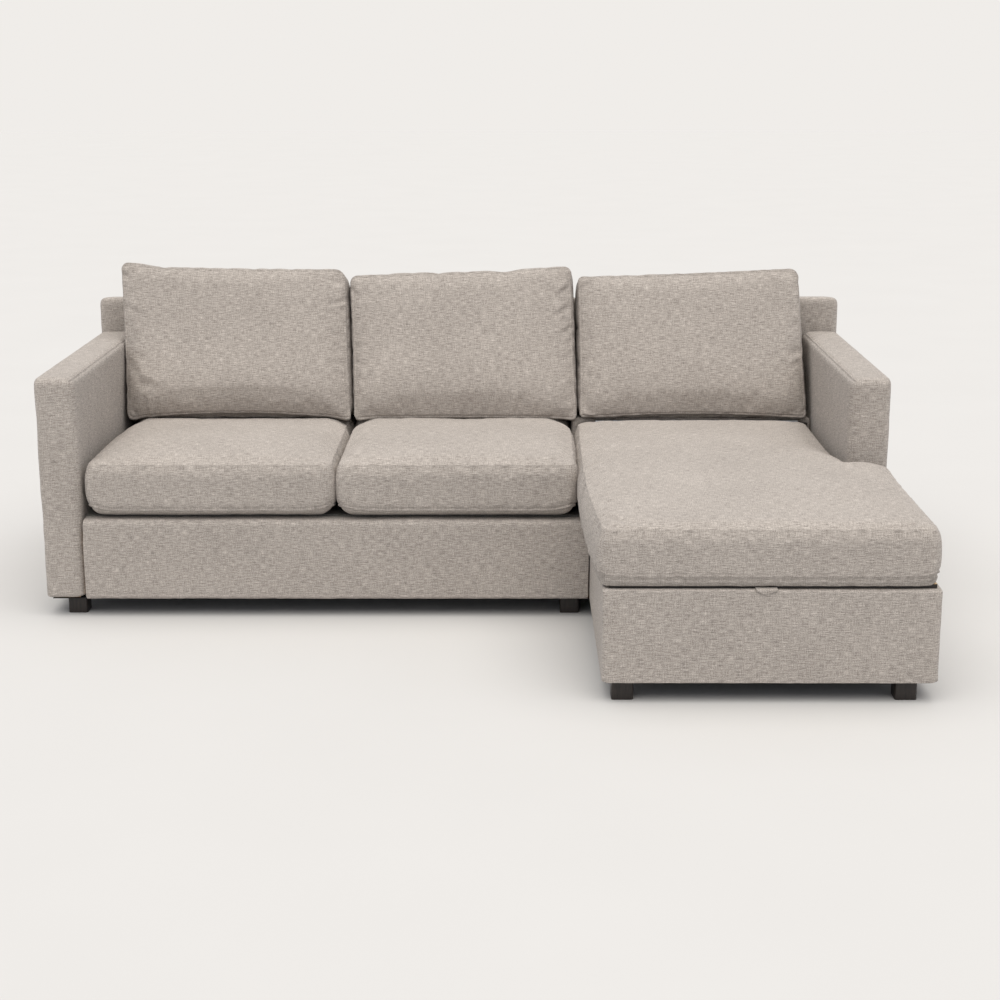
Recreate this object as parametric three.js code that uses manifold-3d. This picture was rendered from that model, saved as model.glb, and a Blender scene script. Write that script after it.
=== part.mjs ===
// Sectional sofa: a two-seat section with a left arm, joined to a storage chaise with a right arm.
// Millimetres. X runs to the right as seen from the front, Y to the rear and Z up.
// The origin lies on the floor, under the middle of the overall footprint.

import * as THREE from 'three';
import { mergeVertices } from 'three/addons/utils/BufferGeometryUtils.js';
import Module from 'manifold-3d';

const wasm = await Module();
wasm.setup();

// Layout seen from above
const seatBays = 3;
const seatBayWidth = 680;
const armWidth = 110;
const sofaDepth = 970; // arm front to the rear of the back
const chaiseReach = 665; // chaise front ahead of the arm fronts
const backThickness = 140;
const backCushionReach = 255; // foot of the back cushions ahead of the back's face
const tabReach = 5; // pull tab ahead of the chaise front

// Heights above the floor
const upholsteryBottom = 50;
const seatFrameTop = 236;
const railTop = 270;
const deckTop = 272;
const chaiseBaseTop = 278;
const seatTop = 430; // where the back cushions stand
const armTop = 650;
const backTop = 757;

// Fits between pieces
const touchGap = 0.3; // between pieces that touch
const sectionGap = 2.6; // between the two sections
const cushionSideGap = 4; // between a cushion and an arm
const cushionSplitShift = 30; // the chaise cushion's left side stands this far left of the section split
const cushionSplitGap = 2.4;
const notchGap = 44; // between the lid's L-shaped end and the right arm's face, for the lid's swing
const overrun = 20; // how far a cutting solid passes the piece that it cuts

// Upholstery
const padThickness = 18; // foam and cover over the arm and back frames
const armDome = 8;
const armEdgeRadius = 22;
const armDomeRadius = 160;
const armEndRounding = 12;
const backEdgeRadius = 20;
const backEndRounding = 14;
const railPadThickness = 12;
const railRollDepth = 56;
const railEdgeRadius = 16;
const railRollRearRadius = 8;
const basePadThickness = 8;
const baseLipThickness = 3;
const baseCornerRadius = 14;

// Timber frames
const framePost = 45;
const armFrameBays = 3;
const sofaBackFrameBays = 4;
const chaiseBackFrameBays = 2;
const seatRail = 28;

// Seat springs and deck
const springWireRadius = 1.9;
const springsPerSeat = 4;
const springWaves = 8;
const springStepsPerWave = 6;
const springWireSides = 4;
const springHalfWidth = 24;
const springArch = 9;
const springEndInset = 10; // spring ends from the outer faces of the rails that carry them
const springTieShares = [0.34, 0.66];

// Storage box of the chaise
const boxBoard = 18;
const returnRail = 45; // thicker board before the right arm, wide enough to close the box under the notch
const floorBoard = 10;
const floorHeight = 60;
const dustCover = 1.2;

// Lid of the storage box
const lidBoard = 10;
const lidInset = 14; // lid board's edge inside the base's outer face
const lidNotchInset = 6;
const riserBoard = 12;
const riserTopDrop = 2; // riser's top edge below the hinge axis
const deckBlockWall = 12;

// Lid hinge
const hingeSetback = 15; // hinge axis behind the foot of the back cushions
const hingeDrop = 10; // hinge axis below the top of the seat
const hingeEndInset = 39.2; // hinge ends inside the chaise bay's sides
const hingeKnuckles = 9;
const knuckleRadius = 5;
const knuckleBore = 2.8;
const knuckleSides = 12;
const knuckleEndGap = 0.6;
const hingePinRadius = 2.2;
const hingeLeaf = 1.5;
const hingeLeafDrop = 40; // leaf's lower edge below the axis

// Gas struts
const strutBaseForward = 100; // base pivot ahead of the hinge axis
const strutBaseRise = 15; // base pivot above the floor board
const strutLidForward = 320; // lid pivot ahead of the hinge axis
const strutLidDrop = 28.3; // lid pivot below the lid board
const strutTubeRadius = 9.5;
const strutTubeBore = 7.6;
const strutShownRod = 40; // from the gland's face to the lid pivot when the lid is shut
const strutGland = 10;
const strutRodRadius = 4;
const strutRodClearance = 0.5;
const strutPistonRadius = 7;
const strutPistonLength = 10;
const strutPistonGap = 1; // between the piston and the tube's closed end when the lid is shut
const strutTubeFloor = 4; // tube's solid end past the eye
const strutEyeRadius = 9;
const strutEyeLength = 13;
const strutStudRadius = 4;
const strutStudClearance = 0.5;
const strutSides = 16;
const strutWallDistance = 18.4; // strut axis from the box wall
const bracketSheet = 2.5;
const bracketHeight = 44;
const bracketWidth = 40;
const lidBracketWallGap = 4.4;
const lidBracketFlange = 26;
const lidStudGap = 0.5; // open pivot: the lid stud ends this far from the rod's socket

// Plates that join the two sections
const connectorSheet = 3;
const connectorTongueWidth = 50;
const connectorTongueRoot = 80;
const connectorTongueReach = 45;
const connectorKeeperLength = 30;
const connectorKeeperFlange = 22;
const connectorEdgeInset = 300; // connector's middle from the front and rear of the sofa section

// Pull tab of the lid
const tabWidth = 50;
const tabThickness = 3;
const tabDrop = 12; // tab's lower edge below the chaise base's top
const tabRearGap = 1;
const tabOffset = 16; // tab's middle to the left of the chaise's

// Feet
const footWidth = 52;
const footCornerRadius = 6;
const footSideInset = 50; // foot centre from the side of its section
const sofaLeftFootInset = 78;
const sofaFrontFootInset = 64;
const footFrontInset = 50;
const footRearInset = 60;
const chaiseRightFootInset = 70;

// Seat and chaise cushions
const cushionEdgeHeight = 424; // upper seam above the floor
const cushionShoulderReach = 42;
const cushionCrown = 20;
const cushionCrownReach = 260;
const seatCrownSkew = 0.6; // below 1 the seat cushions are fullest ahead of their middle
const seatRearFall = 17; // the back cushions press the seat down by this much from their foot to the back
const cushionDraw = 5; // how far the sides pull in between the corners
const cushionEdgeInset = 12; // rounding of the lower edge
const chaiseRearEdgeDrop = 12; // the chaise cushion's rear edge rolls down to clear the hinge
const chaiseRearEdgeReach = 30;
const chaiseCushionInset = 7; // the chaise cushion's right side inside the base's outer face
const chaiseLeftBow = 8; // its left side leans this far against the seat between its ends
const chaiseFrontTaper = 8; // its front left corner is drawn in by this much more
const chaiseTaperReach = 400;
// Height and inset of the boxed side's rings, from the lower panel to the upper seam
const cushionSideRingShares = [[0, 1], [0.11, 0.1], [0.5, 0], [0.9, 0.15], [1, 0.5]];
// Grid lines across a cushion, or along its two stretches: close at the edges, wide in the middle
const cushionGridShares = [0, 0.02, 0.055, 0.13, 0.26, 0.42, 0.58, 0.74, 0.87, 0.945, 0.98, 1];
const firstStretchShares = [0, 0.03, 0.09, 0.22, 0.42, 0.62, 0.8, 0.93, 1];
const secondStretchShares = [0.12, 0.4, 0.7, 0.9, 1];

// Back cushions
const backCushionRise = 432; // highest upper corner above the seat
const backCushionFootDepth = 186;
const backCushionTopDepth = 124;
const backCushionTopShift = 145; // top of the front face behind its foot
const backCushionTopFall = 36; // the top falls to the rear, square to the cushion's lean
const backCushionCrown = 20;
const backCushionRearCrown = 3;
const backCushionCrownReach = 230;
const backCushionDraw = 4;
const backCushionEdgeInset = 14;
const backCushionRingShares = [[0, 0.8], [0.12, 0.1], [0.5, 0], [0.9, 0], [1, 0.25]];
const backCushionGridShares = [0, 0.03, 0.09, 0.22, 0.4, 0.6, 0.78, 0.91, 0.97, 1];
// Lower corners inside the bay's sides and upper corners' sideways shift, as shares of the bay's width
const backCushionFootShares = { left: [0.025, 0.0045], centre: [0.009, 0.022], right: [-0.0103, 0.022] };
const backCushionShiftShares = {
  left: [-0.044, -0.0295],
  centre: [-0.025, -0.0235],
  right: [-0.0075, -0.0295],
};
// Heights of the upper corners, as shares of the highest one's rise above the seat
const backCushionRiseShares = { left: [1, 0.949], centre: [0.935, 0.977], right: [0.9305, 0.977] };

// Planes worked out from the layout
const overallWidth = seatBays * seatBayWidth + 2 * armWidth;
const overallDepth = sofaDepth + chaiseReach + tabReach;
const rightX = overallWidth / 2;
const leftX = -rightX;
const armInnerRight = rightX - armWidth;
const armInnerLeft = leftX + armWidth;
const chaiseSplitX = armInnerRight - seatBayWidth;
const seatSplitX = chaiseSplitX - seatBayWidth;
const cushionSplit = chaiseSplitX - cushionSplitShift;
const sofaRightX = chaiseSplitX - sectionGap / 2;
const baseLeftX = chaiseSplitX + sectionGap / 2;
const rearY = overallDepth / 2;
const backFrontY = rearY - backThickness;
const armFrontY = rearY - sofaDepth;
const chaiseFrontY = armFrontY - chaiseReach;
const backCushionFrontY = backFrontY - backCushionReach;
const hingeY = backCushionFrontY + hingeSetback;
const hingeHeight = seatTop - hingeDrop;
const chaiseInnerX = armInnerRight - touchGap;
const chaiseReturnY = armFrontY - touchGap;
const chaiseRearY = backFrontY - touchGap;
const underside = upholsteryBottom - touchGap;
const footTop = underside - dustCover - touchGap;
const lidBottom = chaiseBaseTop + touchGap;
const lidTop = lidBottom + lidBoard;
const boxOuterLeft = baseLeftX + basePadThickness + touchGap;
const boxInnerLeft = boxOuterLeft + boxBoard;
const boxInnerRight = chaiseInnerX - basePadThickness - touchGap - boxBoard;
const boxTop = chaiseBaseTop - baseLipThickness - touchGap;
const boxPartitionY = hingeY + knuckleRadius + touchGap;
const hingeLength = chaiseInnerX - baseLeftX - 2 * hingeEndInset;

// Materials, with the colours that the photograph shows
function material(color, roughness, metalness) {
  return new THREE.MeshStandardMaterial({ color, roughness, metalness });
}
const sofaFabric = material(0x9a938b, 0.95, 0);
const timber = material(0xb8925f, 0.7, 0);
const plywood = material(0xc9a873, 0.7, 0);
const blackCloth = material(0x16151a, 0.95, 0);
const darkWood = material(0x1c1614, 0.5, 0);
const springSteel = material(0x6f7073, 0.4, 1);
const zincSteel = material(0xa9adb0, 0.4, 1);
const blackSteel = material(0x1b1c1e, 0.4, 1);
const feltPad = material(0x77726b, 1, 0);

const sofa = new THREE.Group();

function addPiece(name, geometry, surface) {
  const mesh = new THREE.Mesh(geometry, surface);
  mesh.name = name;
  sofa.add(mesh);
}

// Joining and cutting of closed solids

function toSolid(geometry) {
  const bare = geometry.clone();
  bare.deleteAttribute('normal');
  bare.deleteAttribute('uv');
  const merged = mergeVertices(bare);
  const vertProperties = new Float32Array(merged.attributes.position.array);
  const triVerts = new Uint32Array(merged.index.array);
  return new wasm.Manifold(new wasm.Mesh({ numProp: 3, vertProperties, triVerts }));
}

function toGeometry(solid) {
  const mesh = solid.getMesh();
  const geometry = new THREE.BufferGeometry();
  geometry.setAttribute('position', new THREE.BufferAttribute(mesh.vertProperties, 3));
  geometry.setIndex(new THREE.BufferAttribute(mesh.triVerts, 1));
  geometry.computeVertexNormals();
  return geometry;
}

function join(...geometries) {
  return toGeometry(geometries.map(toSolid).reduce((whole, next) => whole.add(next)));
}

function cut(geometry, ...tools) {
  return toGeometry(tools.map(toSolid).reduce((whole, tool) => whole.subtract(tool), toSolid(geometry)));
}

// Shapes used by many pieces

function block([x0, y0, z0], [x1, y1, z1]) {
  const geometry = new THREE.BoxGeometry(x1 - x0, y1 - y0, z1 - z0);
  return geometry.translate((x0 + x1) / 2, (y0 + y1) / 2, (z0 + z1) / 2);
}

// Draws a closed outline through corners of [a, b, fillet radius]
function drawOutline(path, corners) {
  corners.forEach(([a, b, radius = 0], index) => {
    const corner = new THREE.Vector2(a, b);
    const last = corners.at(index - 1);
    const next = corners[(index + 1) % corners.length];
    const back = new THREE.Vector2(last[0], last[1]).sub(corner).normalize();
    const ahead = new THREE.Vector2(next[0], next[1]).sub(corner).normalize();
    const halfAngle = Math.acos(THREE.MathUtils.clamp(back.dot(ahead), -1, 1)) / 2;
    const start = corner.clone().addScaledVector(back, radius / Math.tan(halfAngle));
    if (index === 0) path.moveTo(start.x, start.y);
    else path.lineTo(start.x, start.y);
    if (radius > 0) {
      const centre = back.clone().add(ahead).setLength(radius / Math.sin(halfAngle)).add(corner);
      const end = corner.clone().addScaledVector(ahead, radius / Math.tan(halfAngle));
      const from = start.clone().sub(centre).angle();
      const to = end.clone().sub(centre).angle();
      path.absarc(centre.x, centre.y, radius, from, to, back.cross(ahead) > 0);
    }
  });
  path.closePath();
  return path;
}

function outline(corners) {
  return drawOutline(new THREE.Shape(), corners);
}

function rectangle(a0, b0, a1, b1, radius = 0) {
  return [[a0, b0, radius], [a1, b0, radius], [a1, b1, radius], [a0, b1, radius]];
}

function extruded(shape, length, rounding) {
  return new THREE.ExtrudeGeometry(shape, {
    depth: length - 2 * rounding,
    curveSegments: 2,
    bevelEnabled: rounding > 0,
    bevelThickness: rounding,
    bevelSize: rounding,
    bevelOffset: -rounding,
    bevelSegments: 3,
  }).translate(0, 0, rounding);
}

const alongX = new THREE.Vector3(1, 0, 0);
const alongY = new THREE.Vector3(0, 1, 0);
const alongZ = new THREE.Vector3(0, 0, 1);

// An outline in (y, z), extruded along X
function prismX(shape, x0, x1, rounding = 0) {
  const turn = new THREE.Matrix4().makeBasis(alongY, alongZ, alongX);
  return extruded(shape, x1 - x0, rounding).applyMatrix4(turn).translate(x0, 0, 0);
}

// An outline in (x, z), extruded along Y
function prismY(shape, y0, y1, rounding = 0) {
  const turn = new THREE.Matrix4().makeBasis(alongX, alongZ, alongY.clone().negate());
  return extruded(shape, y1 - y0, rounding).applyMatrix4(turn).translate(0, y1, 0);
}

// An outline in (x, y), extruded along Z
function prismZ(shape, z0, z1) {
  return extruded(shape, z1 - z0, 0).translate(0, 0, z0);
}

function rodX(x0, x1, y, z, radius, sides) {
  const turn = new THREE.Matrix4().makeBasis(alongZ, alongX, alongY);
  const rod = new THREE.CylinderGeometry(radius, radius, x1 - x0, sides);
  return rod.applyMatrix4(turn).translate((x0 + x1) / 2, y, z);
}

// A timber frame with evenly spaced windows between its posts and rails, along axis 0 (X) or 1 (Y)
function timberFrame(low, high, axis, count) {
  const width = (high[axis] - low[axis] - framePost * (count + 1)) / count;
  const windows = Array.from({ length: count }, (_, index) => {
    const start = low[axis] + framePost + index * (width + framePost);
    const from = low.map((value) => value - overrun);
    const to = high.map((value) => value + overrun);
    from[axis] = start;
    to[axis] = start + width;
    from[2] = low[2] + framePost;
    to[2] = high[2] - framePost;
    return block(from, to);
  });
  return cut(block(low, high), ...windows);
}

// Arms: a padded cover, open below, over a timber frame

function armShape(x0, x1) {
  const side = armTop - armDome;
  return outline([
    [x0, upholsteryBottom],
    [x1, upholsteryBottom],
    [x1, side, armEdgeRadius],
    [(x0 + x1) / 2, armTop, armDomeRadius],
    [x0, side, armEdgeRadius],
  ]);
}

function addArm(side, x0, x1) {
  const rear = backFrontY - touchGap;
  const roof = armTop - armDome - padThickness;
  const shell = prismY(armShape(x0, x1), armFrontY, rear, armEndRounding);
  const cavity = block(
    [x0 + padThickness, armFrontY + padThickness, upholsteryBottom - overrun],
    [x1 - padThickness, rear - padThickness, roof],
  );
  addPiece(`arm_${side}_cover`, cut(shell, cavity), sofaFabric);

  const inset = padThickness + touchGap;
  const low = [x0 + inset, armFrontY + inset, upholsteryBottom];
  const high = [x1 - inset, rear - inset, roof - touchGap];
  addPiece(`arm_${side}_frame`, timberFrame(low, high, 1, armFrameBays), timber);
}

// Backs: a padded cover, open below, over a timber frame

function backShape() {
  return outline([
    [backFrontY, upholsteryBottom],
    [rearY, upholsteryBottom],
    [rearY, backTop, backEdgeRadius],
    [backFrontY, backTop, backEdgeRadius],
  ]);
}

function addBack(section, x0, x1, bays) {
  const roof = backTop - padThickness;
  const shell = prismX(backShape(), x0, x1, backEndRounding);
  const cavity = block(
    [x0 + padThickness, backFrontY + padThickness, upholsteryBottom - overrun],
    [x1 - padThickness, rearY - padThickness, roof],
  );
  addPiece(`${section}_back_cover`, cut(shell, cavity), sofaFabric);

  const inset = padThickness + touchGap;
  const low = [x0 + inset, backFrontY + inset, upholsteryBottom];
  const high = [x1 - inset, rearY - inset, roof - touchGap];
  addPiece(`${section}_back_frame`, timberFrame(low, high, 0, bays), timber);
}

// Seat of the two-seat section: frame, springs, deck pad and padded front rail

const seatFrameLeftX = armInnerLeft + touchGap;
const seatFrameFrontY = armFrontY + railPadThickness + touchGap;
const seatFrameRearY = backFrontY - touchGap;

function addSeatFrame() {
  const windows = [[seatFrameLeftX, seatSplitX], [seatSplitX, sofaRightX]].map(([x0, x1], index) => {
    const left = x0 + (index === 0 ? seatRail : seatRail / 2);
    const right = x1 - (index === 0 ? seatRail / 2 : seatRail);
    return block(
      [left, seatFrameFrontY + seatRail, upholsteryBottom - overrun],
      [right, seatFrameRearY - seatRail, seatFrameTop + overrun],
    );
  });
  const low = [seatFrameLeftX, seatFrameFrontY, upholsteryBottom];
  const high = [sofaRightX, seatFrameRearY, seatFrameTop];
  addPiece('seat_frame', cut(block(low, high), ...windows), timber);
}

const springBase = seatFrameTop + touchGap + springWireRadius;
const springFrontY = seatFrameFrontY + springEndInset;
const springRearY = seatFrameRearY - springEndInset;

function springHeight(share) {
  return springBase + springArch * Math.sin(Math.PI * share);
}

class SinuousWire extends THREE.Curve {
  constructor(x) {
    super();
    this.x = x;
  }

  getPoint(share, target = new THREE.Vector3()) {
    const x = this.x + springHalfWidth * Math.sin(2 * Math.PI * springWaves * share);
    const y = THREE.MathUtils.lerp(springFrontY, springRearY, share);
    return target.set(x, y, springHeight(share));
  }
}

// The zigzag springs run front to rear, and two tie wires clip them to each other
function addSeatSprings() {
  const wire = new THREE.Shape();
  for (let side = 0; side < springWireSides; side += 1) {
    const angle = 2 * Math.PI * (side + 0.5) / springWireSides;
    const point = [springWireRadius * Math.cos(angle), springWireRadius * Math.sin(angle)];
    if (side === 0) wire.moveTo(...point);
    else wire.lineTo(...point);
  }
  const count = 2 * springsPerSeat;
  const pitch = (sofaRightX - seatFrameLeftX) / count;
  const springs = Array.from({ length: count }, (_, index) => {
    const extrudePath = new SinuousWire(seatFrameLeftX + pitch * (index + 0.5));
    const steps = springWaves * springStepsPerWave;
    return new THREE.ExtrudeGeometry(wire, { steps, extrudePath });
  });
  const ties = springTieShares.map((share) => {
    const y = THREE.MathUtils.lerp(springFrontY, springRearY, share);
    const x0 = seatFrameLeftX + seatRail;
    return rodX(x0, sofaRightX - seatRail, y, springHeight(share), springWireRadius, springWireSides);
  });
  addPiece('seat_springs', join(...springs, ...ties), springSteel);
}

const deckBottom = springBase + springArch + springWireRadius + touchGap;
const rollRearY = armFrontY + railRollDepth;

function addSeatDeck() {
  const low = [armInnerLeft + touchGap, rollRearY + touchGap, deckBottom];
  const high = [sofaRightX, backFrontY - touchGap, deckTop - touchGap];
  addPiece('seat_deck_pad', block(low, high), feltPad);
}

function addFrontRail() {
  const innerY = armFrontY + railPadThickness;
  const underRoll = (rollRearY - springFrontY) / (springRearY - springFrontY);
  const shelf = springHeight(underRoll) + springWireRadius + touchGap;
  const profile = outline([
    [armFrontY, upholsteryBottom],
    [innerY, upholsteryBottom],
    [innerY, shelf],
    [rollRearY, shelf],
    [rollRearY, railTop, railRollRearRadius],
    [armFrontY, railTop, railEdgeRadius],
  ]);
  addPiece('front_rail_cover', prismX(profile, armInnerLeft + touchGap, sofaRightX), sofaFabric);
}

// Plan of the chaise base, which wraps round in front of the right arm, drawn inside its outer faces
function chaisePlan(inset, cornerRadius, returnInset = inset) {
  return [
    [baseLeftX + inset, chaiseFrontY + inset, cornerRadius],
    [rightX - inset, chaiseFrontY + inset, cornerRadius],
    [rightX - inset, chaiseReturnY - returnInset],
    [chaiseInnerX - inset, chaiseReturnY - returnInset],
    [chaiseInnerX - inset, chaiseRearY - inset],
    [baseLeftX + inset, chaiseRearY - inset],
  ];
}

// The padded band round the base, with a lip turned in over the boards
function addChaiseBaseCover() {
  const outer = chaisePlan(0, baseCornerRadius);
  const wallHole = chaisePlan(basePadThickness, 0);
  const lipWidth = basePadThickness + touchGap + boxBoard;
  const returnWidth = basePadThickness + touchGap + returnRail;
  const lipHole = chaisePlan(lipWidth, 0, returnWidth);
  const lipBottom = chaiseBaseTop - baseLipThickness;
  const body = prismZ(outline(outer), upholsteryBottom, chaiseBaseTop);
  const inside = prismZ(outline(wallHole), upholsteryBottom - overrun, lipBottom);
  const mouth = prismZ(outline(lipHole), upholsteryBottom, chaiseBaseTop + overrun);
  addPiece('chaise_base_cover', cut(body, inside, mouth), sofaFabric);
}

// Storage box: boards on edge, with the floor board between them
function addStorageBox() {
  const inset = basePadThickness + touchGap;
  const right = rightX - inset;
  const front = chaiseFrontY + inset;
  const frontInner = front + boxBoard;
  const returnRear = chaiseReturnY - inset;
  const returnFront = returnRear - returnRail;
  const rear = chaiseRearY - inset;
  const innerRightOuter = chaiseInnerX - inset;
  const low = upholsteryBottom;
  const partitionRear = boxPartitionY + boxBoard;
  const boards = {
    box_front_board: [[boxOuterLeft, front], [right, frontInner]],
    box_left_board: [[boxOuterLeft, frontInner + touchGap], [boxInnerLeft, rear]],
    box_right_board: [[right - boxBoard, frontInner + touchGap], [right, returnFront - touchGap]],
    box_return_rail: [[boxInnerRight, returnFront], [right, returnRear]],
    box_inner_right_board: [[boxInnerRight, returnRear + touchGap], [innerRightOuter, rear]],
    box_rear_partition: [
      [boxInnerLeft + touchGap, boxPartitionY],
      [boxInnerRight - touchGap, partitionRear],
    ],
    base_rear_board: [
      [boxInnerLeft + touchGap, rear - boxBoard],
      [boxInnerRight - touchGap, rear],
    ],
  };
  Object.entries(boards).forEach(([name, [start, end]]) => {
    addPiece(name, block([...start, low], [...end, boxTop]), timber);
  });

  const floorPlan = outline([
    [boxInnerLeft + touchGap, frontInner + touchGap],
    [right - boxBoard - touchGap, frontInner + touchGap],
    [right - boxBoard - touchGap, returnFront - touchGap],
    [boxInnerRight - touchGap, returnFront - touchGap],
    [boxInnerRight - touchGap, boxPartitionY - touchGap],
    [boxInnerLeft + touchGap, boxPartitionY - touchGap],
  ]);
  addPiece('box_floor_board', prismZ(floorPlan, floorHeight, floorHeight + floorBoard), plywood);
}

// Height that the back cushions stand at: it falls to the rear, square to their lean
function standHeight(y) {
  const share = (y - backCushionFrontY) / (backFrontY - backCushionFrontY);
  return seatTop - seatRearFall * THREE.MathUtils.clamp(share, 0, 1);
}

// Upholstered block behind the lid: it carries the hinge and the right back cushion
function addRearDeck() {
  const front = hingeY + knuckleRadius + touchGap;
  const section = (inset, bottom) => outline([
    [front + inset, bottom],
    [chaiseRearY - inset, bottom],
    [chaiseRearY - inset, standHeight(chaiseRearY) - inset],
    [front + inset, standHeight(front) - inset],
  ]);
  const body = prismX(section(0, lidBottom), cushionSplit, chaiseInnerX);
  const hollow = section(deckBlockWall, lidBottom - overrun);
  const cavity = prismX(hollow, baseLeftX + deckBlockWall, chaiseInnerX - deckBlockWall);
  addPiece('chaise_rear_deck', cut(body, cavity), sofaFabric);
}

const riserRearY = hingeY - knuckleRadius - touchGap;
const lidNotchY = armFrontY - notchGap;

// L-shaped lid board with its upturned riser, which the hinge's moving leaf is screwed to
function addLid() {
  const left = baseLeftX + lidInset;
  const innerRight = armInnerRight - lidInset;
  const plan = outline([
    [left, chaiseFrontY + lidInset],
    [rightX - lidInset, chaiseFrontY + lidInset],
    [rightX - lidInset, lidNotchY - lidNotchInset],
    [innerRight, lidNotchY - lidNotchInset],
    [innerRight, riserRearY],
    [left, riserRearY],
  ]);
  const riserLow = [left, riserRearY - riserBoard, lidBottom];
  const riser = block(riserLow, [innerRight, riserRearY, hingeHeight - riserTopDrop]);
  addPiece('lid_board', join(prismZ(plan, lidBottom, lidTop), riser), plywood);
}

// Piano hinge: two leaves whose knuckles take turns along one pin

function hingeKnuckle(index) {
  const pitch = hingeLength / hingeKnuckles;
  const start = (baseLeftX + chaiseInnerX - hingeLength) / 2 + pitch * index;
  return [start + knuckleEndGap / 2, start + pitch - knuckleEndGap / 2];
}

// side is -1 for the lid's leaf and 1 for the fixed one
function hingeLeafGeometry(side, parity) {
  const outer = hingeY + side * knuckleRadius;
  const inner = outer - side * hingeLeaf;
  const [y0, y1] = [Math.min(outer, inner), Math.max(outer, inner)];
  const [x0] = hingeKnuckle(0);
  const [, x1] = hingeKnuckle(hingeKnuckles - 1);
  const shoulder = hingeHeight - knuckleRadius - knuckleEndGap;
  const plate = block([x0, y0, hingeHeight - hingeLeafDrop], [x1, y1, shoulder]);
  const pieces = [plate];
  for (let index = parity; index < hingeKnuckles; index += 2) {
    const [start, end] = hingeKnuckle(index);
    pieces.push(block([start, y0, shoulder - hingeLeaf], [end, y1, hingeHeight]));
    pieces.push(rodX(start, end, hingeY, hingeHeight, knuckleRadius, knuckleSides));
  }
  const bore = rodX(x0 - overrun, x1 + overrun, hingeY, hingeHeight, knuckleBore, knuckleSides);
  return cut(join(...pieces), bore);
}

function addHinge() {
  addPiece('hinge_fixed_leaf', hingeLeafGeometry(1, 0), zincSteel);
  addPiece('hinge_lid_leaf', hingeLeafGeometry(-1, 1), zincSteel);
  const [x0] = hingeKnuckle(0);
  const [, x1] = hingeKnuckle(hingeKnuckles - 1);
  addPiece('hinge_pin', rodX(x0, x1, hingeY, hingeHeight, hingePinRadius, knuckleSides), zincSteel);
}

// Gas struts, one at each side wall of the box

const strutBaseY = hingeY - strutBaseForward;
const strutBaseZ = floorHeight + floorBoard + strutBaseRise;
const strutLidY = hingeY - strutLidForward;
const strutLidZ = lidBottom - strutLidDrop;
const strutAxis = new THREE.Vector3(0, strutLidY - strutBaseY, strutLidZ - strutBaseZ).normalize();
const strutLength = Math.hypot(strutLidY - strutBaseY, strutLidZ - strutBaseZ);
const strutTubeLength = strutLength - strutShownRod;

// A closed profile of [distance from the base pivot, radius], turned about the strut's axis
function strutTurned(profile, x) {
  const points = profile.map(([distance, radius]) => new THREE.Vector2(radius, distance));
  const across = new THREE.Vector3().crossVectors(strutAxis, alongX).normalize();
  const turn = new THREE.Matrix4().makeBasis(alongX, strutAxis, across.negate());
  return new THREE.LatheGeometry(points, strutSides).applyMatrix4(turn).translate(x, strutBaseY, strutBaseZ);
}

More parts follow.
